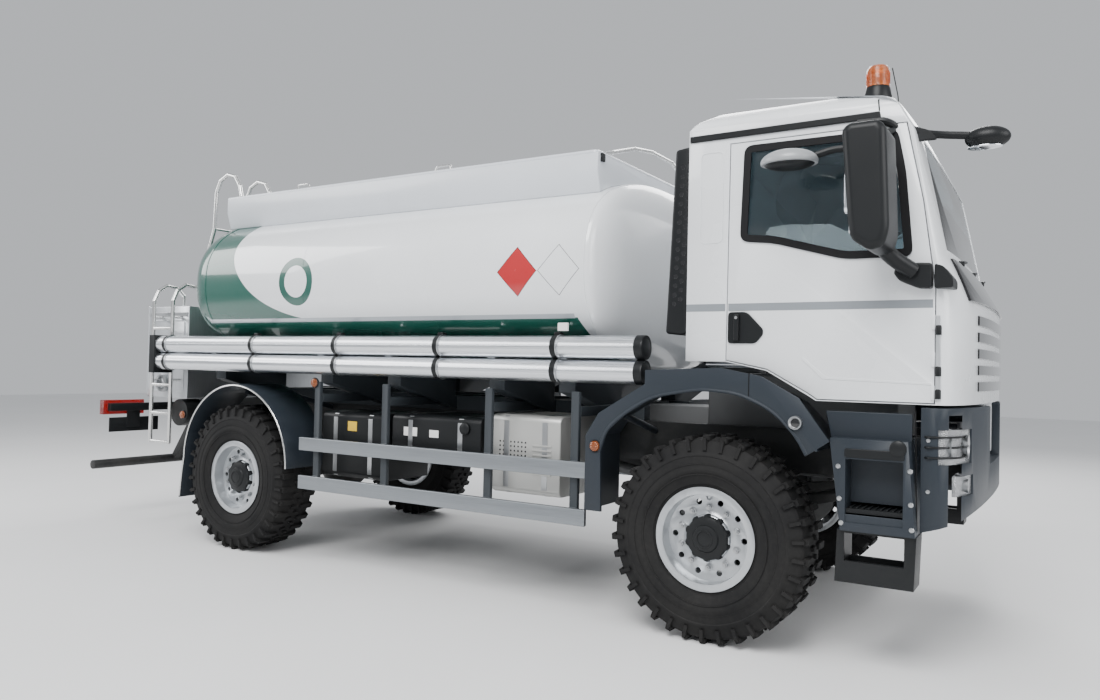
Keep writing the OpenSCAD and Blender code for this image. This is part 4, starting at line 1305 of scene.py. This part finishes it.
class TANKER_OT_lamp_guards(bpy.types.Operator):
    """Black wire guards over the headlamps, their reflectors and the bumper's seam"""

    bl_idname = "tanker.lamp_guards"
    bl_label = "Lamp guards"

    def execute(self, context):
        parts = []
        for z in (1.085, 1.135, 1.185):
            bar = tube("guard_wire", from_axle([(1.090, -1.112, z), (1.105, -1.132, z), (1.160, -1.110, z),
                                                (1.235, -1.015, z), (1.255, -0.850, z)]), 0.0055, 0.05)
            parts += pair(bar, "black")
        for x, y, z, r in ((1.165, -1.02, 1.135, 0.055), (1.225, -0.91, 1.135, 0.058),
                           (1.225, -0.90, 0.940, 0.036)):
            bowl = lathe("reflector", [(0, -0.004), (r * 0.45, 0.0), (r * 0.85, 0.020), (r, 0.040),
                                       (r * 1.03, 0.040)], (fx(x), y, z), "x", 32)
            parts += pair(bowl, "steel")
        seam = tube("bumper_seam", from_axle([(1.050, -1.1205, 1.310), (1.056, -1.1205, 1.000),
                                              (1.060, -1.1205, 0.735)]), 0.0028, 0.02)
        parts += pair(seam, "rubber")
        for x, y, z in ((1.108, -1.119, 1.168), (1.108, -1.119, 0.920)):
            bolt = lathe("bumper_screw", [(0, -0.005), (0.009, -0.004), (0.012, 0.002)], (fx(x), y, z), "y",
                         12)
            parts += pair(bolt, "steel")
        fitted("lamp_guards", "chassis", parts)
        clear()
        return {"FINISHED"}


class TANKER_OT_tank_fittings(bpy.types.Operator):
    """Clamp, handles and rim on the trough, toggles on the manhole lid and the label plate"""

    bl_idname = "tanker.tank_fittings"
    bl_label = "Tank fittings"

    def execute(self, context):
        parts = []
        clamp = box("trough_clamp", (fx(-0.848), -0.900, 2.790), (fx(-0.830), -0.860, 2.845), 0.006)
        parts.append(coat(clamp, "black"))
        low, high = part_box("tank_coaming")
        y, top = high.y - 0.015, high.z
        rim = tube("trough_rim", [(low.x + 0.015, -y, top + 0.002), (high.x - 0.015, -y, top + 0.002),
                                  (high.x - 0.015, y, top + 0.002), (low.x + 0.015, y, top + 0.002)], 0.0165,
                   0.03, loop=True)
        parts.append(coat(rim, "coaming"))
        for x in (-3.52, -2.10):
            handle = tube("trough_handle", [(fx(x) - 0.07, -y, top + 0.010), (fx(x) - 0.06, -y, top + 0.045),
                                            (fx(x) + 0.06, -y, top + 0.045), (fx(x) + 0.07, -y, top + 0.010)],
                          0.008, 0.03)
            parts += pair(handle, "stainless")
        plate = box("label_plate", (fx(-0.975), -1.168, 1.705), (fx(-0.905), -1.150, 1.755), 0.003)
        parts.append(coat(plate, "placard_white"))
        fitted("tank_fittings", "chassis", parts)
        spot = (REAR_X + 1.5, 0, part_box("manhole_lid")[1].z)
        lid = lathe("lid_dish", [(0, 0.016), (0.10, 0.015), (0.17, 0.008), (0.19, 0.0), (0.19, -0.004)], spot,
                    "z", 48)
        toggle = box("lid_toggle", (spot[0] + 0.225, -0.014, spot[2] - 0.006),
                     (spot[0] + 0.292, 0.014, spot[2] + 0.016), 0.005)
        pieces = [coat(lid, "sheet")]
        for angle in (0, 60, 120, 240, 300):
            pieces.append(coat(copied(toggle, "lid_toggle", turn_about(spot, angle, "Z")), "steel"))
        bpy.data.objects.remove(toggle)
        fitted("lid_fittings", "manhole_cover", pieces)
        clear()
        return {"FINISHED"}


class TANKER_OT_rear(bpy.types.Operator):
    """Cabinet hatch, coupling and door handles, and the bands of the air tanks"""

    bl_idname = "tanker.rear"
    bl_label = "Rear fittings"

    def execute(self, context):
        parts = []
        low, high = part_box("rear_cabinet")
        y = low.y
        hatch = framed("cabinet_hatch", rounded_loop([(low.x + 0.05, low.z + 0.05),
                                                      (high.x - 0.05, low.z + 0.05),
                                                      (high.x - 0.05, high.z - 0.12),
                                                      (low.x + 0.05, high.z - 0.12)], 0.03), y, 0.012, 0.006)
        parts.append(coat(hatch, "sheet"))
        strip = box("cabinet_strip", (low.x + 0.02, y - 0.006, high.z - 0.090),
                    (high.x - 0.02, y + 0.002, high.z - 0.055), 0.002)
        parts.append(coat(strip, "steel"))
        ring = lathe("coupling", [(0.0, -0.010), (0.052, -0.010), (0.056, -0.038), (0.074, -0.040),
                                  (0.080, -0.030), (0.080, 0.002)], (fx(-5.20), y, 1.27), "y", 40)
        parts.append(coat(ring, "steel"))
        for i in range(3):
            bar = tube("coupling_bar",
                       [(fx(-5.20), y - 0.012, 1.27), (fx(-5.20) + 0.054 * math.cos(2.094 * i),
                                        y - 0.012, 1.27 + 0.054 * math.sin(2.094 * i))], 0.006)
            parts.append(coat(bar, "sheet"))
        band = lathe("air_tank_band", [(0.1165, -0.016), (0.1205, -0.015), (0.1205, 0.015), (0.1165, 0.016)],
                     (REAR_X - 1.15, -0.70, 1.010), "y", 48)
        parts += pair(band, "steel")
        fitted("rear_fittings", "chassis", parts)
        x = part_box("cabinet_door")[0].x
        pieces = []
        for dy in (-0.55, 0.55):
            handle = tube("door_handle", [(x + 0.002, dy - 0.06, 1.30), (x - 0.035, dy - 0.06, 1.30),
                                          (x - 0.035, dy + 0.06, 1.30), (x + 0.002, dy + 0.06, 1.30)], 0.007,
                          0.02)
            pieces.append(coat(handle, "stainless"))
        press = panel("door_pressing", rounded_loop([(-0.84, 1.40), (0.84, 1.40), (0.84, 1.85),
                                                     (-0.84, 1.85)], 0.04), "yz", x - 0.004, x + 0.004, 0.003)
        pieces.append(coat(press, "sheet"))
        fitted("cabinet_door_fittings", "rear_door", pieces)
        clear()
        return {"FINISHED"}


class TANKER_OT_cab(bpy.types.Operator):
    """Cab shell with its gutter, seams, grille panel and front mirror"""

    bl_idname = "tanker.cab"
    bl_label = "Cab"

    def execute(self, context):
        skin = CAB_Y
        trims = []
        gutter = panel("gutter", from_axle([(-0.150, 2.764), (0.872, 2.770), (0.866, 2.806),
                                            (-0.150, 2.800)]), "xz", -skin - 0.012, -skin + 0.02, 0.005)
        pressing = framed("side_pressing", rounded_loop(from_axle([(-0.085, 2.700), (-0.085, 2.190),
                                                                   (0.050, 2.190), (0.050, 2.700)]), 0.035),
                          -skin, 0.005, 0.003)
        band = panel("pillar_stripe", from_axle([(-0.155, 1.812), (0.072, 1.812), (0.072, 1.853),
                                       (-0.155, 1.853)]), "xz", -skin - 0.0015, -skin + 0.002, 0.0005, 1)
        for part, look in ((gutter, "black"), (pressing, "white"), (band, "stripe")):
            trims += pair(part, look)
        roof_seam = tube("roof_seam", from_axle([(0.862, -skin - 0.001, 2.81), (0.857, -skin + 0.0005, 2.866),
                                                 (0.852, -skin + 0.13, 2.9065), (0.85, -0.5, 2.914),
                                                 (0.85, 0.5, 2.914), (0.852, skin - 0.13, 2.9065),
                                                 (0.857, skin - 0.0005, 2.866), (0.862, skin + 0.001, 2.81)]),
                         0.0035, 0.01)
        trims.append(coat(roof_seam, "rubber"))
        # covers over the door hinges and the mirror arm's foot
        for z0, z1 in ((1.357, 1.776),):
            slot = panel("hinge_slot", rounded_loop(from_axle([(1.136, z0), (1.160, z0), (1.156, z1),
                                                           (1.137, z1)]), 0.01), "xz", -1.128, -1.06, 0.002)
            trims += pair(slot, "sheet")
        for z in (1.39, 1.50, 1.70):
            pin = lathe("hinge_pin", [(0, 0.03), (0.011, 0.027), (0.014, 0.02), (0.014, -0.02)],
                        (fx(1.148), -1.122, z), "z", 16)
            trims += pair(pin, "black")
        foot = panel("mirror_foot_cover", rounded_loop(from_axle([(1.133, 2.022), (1.172, 2.008), (1.214, 1.950),
                                                              (1.216, 1.903), (1.133, 1.903)]), 0.012), "xz",
                     -1.175, -0.985, 0.012, 3)
        trims += pair(foot, "black")
        arm = [tube("mirror_arm", from_axle([(0.76, -skin - 0.010, 2.758), (0.90, -skin - 0.018, 2.752),
                                         (0.965, -1.085, 2.700), (1.02, -1.045, 2.655)]), 0.020, 0.05),
               tube("mirror_arm", from_axle([(0.98, -1.085, 2.700), (1.10, -0.99, 2.690), (1.30, -0.955, 2.668)]),
                    0.019, 0.08), panel("arm_gusset", rounded_loop(from_axle([(0.985, 2.742), (1.085, 2.700),
                                                                          (1.125, 2.650), (0.995, 2.650)]),
                                                                   0.015), "xz", -1.06, -1.035, 0.006)]
        head = pod("front_mirror_head", (fx(1.335), -0.945, 2.657), (0.103, 0.066, 0.056), 0.3)
        lens = pod("front_mirror_lens", (fx(1.325), -0.945, 2.612), (0.080, 0.050, 0.014), 0.0)
        parts = [coat(part, "black") for part in [*arm, head]] + [coat(lens, "mirror")]
        fitted("front_mirror_set", "cab", parts, replaces=["front_mirror"])
        dressed("cab_shell", "white", "cab", 0.012, segments=3, extra=trims, crown=2.86)
        dressed("windscreen", "glass", "cab", 0.002)
        self.front()
        self.roof()
        self.snorkel()
        clear()
        return {"FINISHED"}

    def front(self):
        """Glossy upper panel, grille bars and wipers"""
        dressed("front_panel", "gloss_black", "cab", 0.004)
        bars = []
        for i in range(5):
            z = 1.43 + 0.085 * i
            bar = bent_bar("grille_bar", z, 0.052, 0.72, 0.012)
            bars.append(coat(bar, "gloss_black"))
        fitted("grille_bars", "cab", bars)
        wipers = []
        for y in (-0.58, 0.02, 0.58):
            foot = (fx(1.186), y, 2.082)
            wipers.append(coat(tube("wiper_arm", [foot, (fx(1.190), y + 0.06, 2.100),
                                                  (fx(1.178), y + 0.34, 2.130)], 0.008, 0.03), "black"))
            boss = lathe("wiper_boss", [(0, 0.020), (0.012, 0.018), (0.018, 0.008), (0.020, -0.02)], foot,
                         "x", 20)
            wipers.append(coat(boss, "black"))
        fitted("wipers", "cab", wipers)

    def roof(self):
        """Beacon with a ribbed lens, and the aerial"""
        spot = (fx(0.755), -0.60, 0.0)
        base_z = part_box("beacon")[0].z
        top_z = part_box("beacon")[1].z
        foot = lathe("beacon_foot", [(0, top_z - 0.125), (0.060, top_z - 0.125), (0.066, top_z - 0.135),
                                     (0.070, top_z - 0.160), (0.076, top_z - 0.185), (0.078, base_z + 0.02),
                                     (0.070, base_z)], spot, "z", 48)
        lens = lathe("beacon_lens", [(0, top_z - 0.0005), (0.030, top_z - 0.002), (0.048, top_z - 0.008),
                                     (0.057, top_z - 0.020), (0.061, top_z - 0.040), (0.062, top_z - 0.124)],
                     spot, "z", 48)
        ribs = []
        rib = box("lens_rib", (spot[0] + 0.058, spot[1] - 0.0016, top_z - 0.108),
                  (spot[0] + 0.0635, spot[1] + 0.0016, top_z - 0.045), 0.001, 1)
        ribs = spread(rib, 36, spot, "Z")
        core = lathe("beacon_core", [(0, top_z - 0.04), (0.020, top_z - 0.045), (0.030, top_z - 0.07),
                                     (0.016, top_z - 0.10), (0.016, top_z - 0.124)], spot, "z", 24)
        parts = [coat(foot, "black"), coat(core, "steel"),
                 coat(lens, "amber")] + [coat(r, "amber") for r in ribs]
        fitted("beacon_lamp", "cab", parts, replaces=["beacon"])
        aerial = tube("aerial", from_axle([(0.868, -0.60, 2.93), (0.862, -0.60, 3.03), (0.83, -0.60, 3.195)]),
                      0.003, 0.02)
        base = lathe("aerial_base", [(0, 2.985), (0.008, 2.98), (0.012, 2.96), (0.022, 2.945),
                                     (0.024, 2.925)], (fx(0.868), -0.60, 0), "z", 20)
        fitted("aerial", "cab", [coat(aerial, "black"), coat(base, "black")])

    def snorkel(self):
        """Air intake with a perforated outer face; its holes are shallow gloss-black cups whose black is painted
        shade
        """
        painted_dark_holes = []
        for i in range(16):
            z = 1.86 + 0.052 * i
            for row, x in enumerate((-0.243, -0.205)):
                lean = 0.045 * (z - 1.86) / 0.83
                spot = (fx(x + lean), -CAB_Y + 0.0195, z + 0.026 * row)
                # a shallow gloss-black cup for each hole: its black is painted shade of the hole's inside
                painted_dark_holes.append(coat(lathe("intake_hole_painted_dark", [(0, -0.0006), (0.013, -0.0004), (0.0145, 0.001),
                                                        (0.0145, 0.004)], spot, "y", 12), "gloss_black"))
        dressed("air_intake", "black", "cab", 0.018, segments=4, extra=painted_dark_holes)


class TANKER_OT_doors(bpy.types.Operator):
    """Doors with glass, window rubber, handle, stripe and mirrors"""

    bl_idname = "tanker.doors"
    bl_label = "Doors and mirrors"

    def execute(self, context):
        trims, mirror, kerb = self.trims(), self.mirror(), self.kerb_mirror()
        for side, way in SIDES.items():
            body = side + "_door"
            place = Matrix.Diagonal((1, -way, 1, 1))
            own_trims = [copied(part, part.name, place) for part in trims]
            dressed(f"door_{side}", "white", body, 0.005, extra=own_trims)
            dressed(f"door_glass_{side}", "glass", body, 0.002)
            own_mirror = [copied(part, part.name,
                                 place) for part in mirror + (kerb if side == "right" else [])]
            fitted(f"mirror_set_{side}", body, own_mirror, replaces=[f"mirror_{side}"])
        for pattern in trims + mirror + kerb:
            bpy.data.objects.remove(pattern)
        clear()
        return {"FINISHED"}

    def trims(self):
        """Parts on the right door, made once as patterns"""
        skin = -CAB_Y
        ring = [(0.150, 2.190), (0.168, 2.713), (0.950, 2.711), (0.993, 2.490), (1.030, 2.066),
                (0.700, 2.068),
                (0.330, 2.172)]
        rubber = framed("pattern_rubber", rounded_loop(from_axle(ring), 0.05), skin, 0.040, 0.010)
        bezel = panel("pattern_bezel", rounded_loop(from_axle([(0.090, 1.806), (0.196, 1.806), (0.286, 1.712),
                                                           (0.286, 1.684), (0.246, 1.634), (0.090, 1.634)]),
                                                    0.022), "xz", skin - 0.010, skin + 0.012, 0.004)
        grip = box("pattern_grip", (fx(0.128), skin - 0.030, 1.648), (fx(0.158), skin - 0.004, 1.792), 0.008,
                   3)
        lock = lathe("pattern_lock", [(0, -0.014), (0.008, -0.013), (0.010, -0.006), (0.010, 0.006)],
                     (fx(0.143), skin - 0.02, 1.774), "y", 16)
        stripe = panel("pattern_stripe", from_axle([(0.089, 1.812), (1.122, 1.812), (1.122, 1.853),
                                          (0.089, 1.853)]), "xz", skin - 0.0015, skin + 0.002, 0.0005, 1)
        crease = panel("pattern_crease", from_axle([(0.60, 1.452), (1.118, 1.436), (1.118, 1.448),
                                                    (0.62, 1.464), (0.50, 1.565), (0.494, 1.553)]), "xz",
                       skin - 0.0025, skin + 0.004, 0.002)
        return [coat(rubber, "rubber"), coat(bezel, "black"), coat(grip, "black"), coat(lock, "steel"),
                coat(stripe, "stripe"), coat(crease, "white")]

    def mirror(self):
        """The main mirror with its foot, neck and top arm"""
        y0 = -CAB_Y
        case = panel("pattern_case", rounded_loop(from_axle([(0.768, 2.625), (0.800, 2.655), (0.935, 2.655),
                                                             (0.965, 2.620), (0.985, 2.150), (0.965, 2.070),
                                                             (0.900, 2.050), (0.815, 2.110), (0.800, 2.200)]),
                                                  0.03), "xz", y0 - 0.420, y0 - 0.115, 0.045, 5)
        glass = panel("pattern_mirror_glass", rounded_loop([(y0 - 0.385, 2.235), (y0 - 0.150, 2.235),
                                                            (y0 - 0.150, 2.585), (y0 - 0.385, 2.585)], 0.03),
                      "yz", fx(0.782), fx(0.80), 0.003)
        small = panel("pattern_mirror_glass", rounded_loop([(y0 - 0.380, 2.140), (y0 - 0.155, 2.140),
                                                            (y0 - 0.155, 2.200), (y0 - 0.380, 2.200)], 0.015),
                      "yz", fx(0.803), fx(0.82), 0.003)
        foot = panel("pattern_foot", rounded_loop(from_axle([(0.945, 1.985), (0.966, 2.018), (1.060, 2.030),
                                                             (1.122, 2.025), (1.122, 1.902), (1.060, 1.905),
                                                             (0.972, 1.945)]), 0.015), "xz", y0 - 0.058,
                     y0 + 0.004, 0.018, 4)
        neck = tube("pattern_neck", from_axle([(0.905, y0 - 0.170, 2.110), (0.950, y0 - 0.100, 2.050),
                                               (1.040, y0 - 0.045, 1.985)]), 0.040, 0.05, 5)
        top_arm = tube("pattern_top_arm", from_axle([(0.875, y0 - 0.15, 2.625), (0.905, y0 - 0.06, 2.680),
                                                     (0.930, y0 - 0.004, 2.700)]), 0.016, 0.04)
        return [coat(case, "black"), coat(glass, "mirror"), coat(small, "mirror"), coat(foot, "black"),
                coat(neck, "black"), coat(top_arm, "black")]

    def kerb_mirror(self):
        """The wide kerb mirror, which only the right side has"""
        y0 = -CAB_Y
        x, y = fx(0.485), y0 - 0.255
        shell = pod("pattern_kerb_shell", (x, y, 2.535), (0.142, 0.115, 0.064), 0.80)
        bowl = pod("pattern_kerb_bowl", (x, y, 2.530), (0.128, 0.102, 0.034), 0.1)
        link = tube("pattern_kerb_link", from_axle([(0.60, y0 - 0.20, 2.568), (0.68, y0 - 0.19, 2.590),
                                                    (0.80, y0 - 0.19, 2.590)]), 0.018, 0.03)
        return [coat(shell, "grey_shell"), coat(bowl, "black"), coat(link, "black")]


class TANKER_OT_inside(bpy.types.Operator):
    """Seats, dashboard and steering wheel"""

    bl_idname = "tanker.inside"
    bl_label = "Cab inside"

    def execute(self, context):
        for node, look, slot, width in (("dashboard", "dash", "dash_plastic", 0.02),
                                        ("steering_wheel", "black", "black_plastic", 0.004)):
            dressed(node, look, "cab", width)
        lean = Matrix.Translation((fx(0.160), 0, 1.800)) @ Matrix.Rotation(math.radians(-12), 4, "Y")
        first = True
        for y in (-0.56, 0.56):
            base = box("seat_base", (fx(0.150), y - 0.168, 1.606), (fx(0.598), y + 0.168, 1.70), 0.012)
            fitted("seat_base", "cab", [coat(base, "dash")],
                   replaces=["seats"] if first else ())
            first = False
            self.pad("seat_cushion", (fx(0.150), y - 0.232, 1.700), (fx(0.632), y + 0.232, 1.792), None)
            self.pad("seat_back", (-0.080, y - 0.228, 0.010), (0.004, y + 0.228, 0.545), lean)
            self.pad("head_rest", (-0.072, y - 0.112, 0.575), (-0.012, y + 0.112, 0.745), lean)
        clear()
        return {"FINISHED"}

    def pad(self, name, low, high, lean):
        """A stuffed pad: a block blown up as cloth, then seamed with piping."""
        obj = box(name, low, high, 0.022, 4)
        modified(obj, "REMESH", mode="VOXEL", voxel_size=0.006, use_smooth_shade=True)
        self.blow(obj)
        modified(obj, "SUBSURF", levels=1, render_levels=1)
        smooth(obj, 60)
        low, high = Vector(low), Vector(high)
        flat = min(range(3), key=lambda i: (high - low)[i])
        u, v = [i for i in range(3) if i != flat]
        loop = []
        for du, dv in ((0, 0), (1, 0), (1, 1), (0, 1)):
            spot = (low + high) / 2
            spot[u] = (low[u] + 0.004, high[u] - 0.004)[du]
            spot[v] = (low[v] + 0.004, high[v] - 0.004)[dv]
            loop.append(tuple(spot))
        path = [tuple(p) for p in rounded(loop + loop[:2], 0.03)][1:-1]
        piping = tube("seat_piping", path[:-1], 0.0045, 0, 2, loop=True)
        coat(obj, "seat")
        coat(piping, "seat")
        if lean:
            obj.data.transform(lean)
            piping.data.transform(lean)
        fitted(name, "cab", [obj, piping])

    def blow(self, obj):
        """Blows a closed mesh up as cloth, capping how far a point may move."""
        scene = bpy.context.scene
        rest = [vert.co.copy() for vert in obj.data.vertices]
        only(obj)
        cloth_kind = obj.modifiers.new("cloth", "CLOTH")
        cloth_kind.settings.use_pressure = True
        cloth_kind.settings.uniform_pressure_force = 4
        cloth_kind.settings.effector_weights.gravity = 0
        cloth_kind.settings.quality = 5
        for step in range(1, 21):
            scene.frame_set(step)
        bpy.ops.object.modifier_apply(modifier=cloth_kind.name)
        scene.frame_set(1)
        limit = 0.012
        for vert, place in zip(obj.data.vertices, rest):
            move = vert.co - place
            if move.length > limit:
                vert.co = place + move.normalized() * limit


class TANKER_OT_stage(bpy.types.Operator):
    """Camera, soft studio light and a pale floor"""

    bl_idname = "tanker.stage"
    bl_label = "Stage"

    def execute(self, context):
        settings = bpy.context.scene.tanker_stage
        camera = bpy.data.cameras.new("camera")
        camera.lens, camera.sensor_width = settings.lens, 36
        camera.clip_end = 200
        viewer = bpy.data.objects.new("camera", camera)
        bpy.context.collection.objects.link(viewer)
        place = Vector(settings.place) + Vector((AXLE_X, 0, 0))
        viewer.matrix_world = (Matrix.Translation(place) @ Matrix.Rotation(settings.yaw, 4, "Z")
                               @ Matrix.Rotation(math.pi / 2 + settings.pitch, 4, "X")
                               @ Matrix.Rotation(settings.roll, 4, "Z"))
        bpy.context.scene.camera = viewer
        lamps = [("key", (2.5, -8.0, 9.5), 6.0, 1500), ("fill", (10.0, -2.5, 5.0), 5.0, 420),
                 ("rear", (-9.0, -5.0, 6.0), 5.0, 500), ("far", (0.0, 9.0, 8.0), 6.0, 800)]
        for name, spot, size, power in lamps:
            light = bpy.data.lights.new("light_" + name, "AREA")
            light.size, light.energy = size, power
            lamp = bpy.data.objects.new("light_" + name, light)
            bpy.context.collection.objects.link(lamp)
            aim = Vector((0, 0, 1.2)) - Vector(spot)
            lamp.matrix_world = Matrix.Translation(spot) @ aim.to_track_quat("-Z", "Y").to_matrix().to_4x4()
        world = bpy.data.worlds.new("studio")
        world.use_nodes = True
        world.node_tree.nodes["Background"].inputs["Color"].default_value = (0.93, 0.96, 1.0, 1)
        world.node_tree.nodes["Background"].inputs["Strength"].default_value = 0.62
        bpy.context.scene.world = world
        floor = primitive("floor", "plane", size=60, location=(0, 0, -0.0005))
        material, tree, shader, where = fresh("pale_floor")
        finish(tree, shader, where, (0.80, 0.80, 0.80), 0.7, drift=0.02, spread=0.03, drift_scale=0.6)
        floor.data.materials.append(material)
        clear()
        return {"FINISHED"}


OPERATORS = [TANKER_OT_stage, TANKER_OT_vessel, TANKER_OT_tyres, TANKER_OT_frame, TANKER_OT_tubes,
             TANKER_OT_markers, TANKER_OT_boxes, TANKER_OT_steps, TANKER_OT_lamp_guards,
             TANKER_OT_tank_fittings, TANKER_OT_rear, TANKER_OT_cab, TANKER_OT_doors, TANKER_OT_inside]


class TANKER_PT_panel(bpy.types.Panel):
    """Lists the operators in the order in which they run"""

    bl_label = "Tanker truck"
    bl_idname = "TANKER_PT_panel"
    bl_space_type = "VIEW_3D"
    bl_region_type = "UI"
    bl_category = "Tanker"

    def draw(self, context):
        layout = self.layout
        for group in ("tanker_colours", "tanker_sizes", "tanker_stage"):
            settings = getattr(context.scene, group)
            for label in settings.bl_rna.properties.keys():
                if label not in {"rna_type", "name"}:
                    layout.prop(settings, label)
        for operator in OPERATORS:
            layout.operator(operator.bl_idname)


CLASSES = [TruckColours, TruckSizes, StageSettings, *OPERATORS, TANKER_PT_panel]


def register():
    for cls in CLASSES:
        bpy.utils.register_class(cls)
    bpy.types.Scene.tanker_colours = bpy.props.PointerProperty(type=TruckColours)
    bpy.types.Scene.tanker_sizes = bpy.props.PointerProperty(type=TruckSizes)
    bpy.types.Scene.tanker_stage = bpy.props.PointerProperty(type=StageSettings)


def unregister():
    for label in ("tanker_colours", "tanker_sizes", "tanker_stage"):
        delattr(bpy.types.Scene, label)
    for cls in reversed(CLASSES):
        bpy.utils.unregister_class(cls)


def main():
    register()
    for operator in OPERATORS:
        group, name = operator.bl_idname.split(".")
        getattr(getattr(bpy.ops, group), name)()


if __name__ == "__main__":
    main()
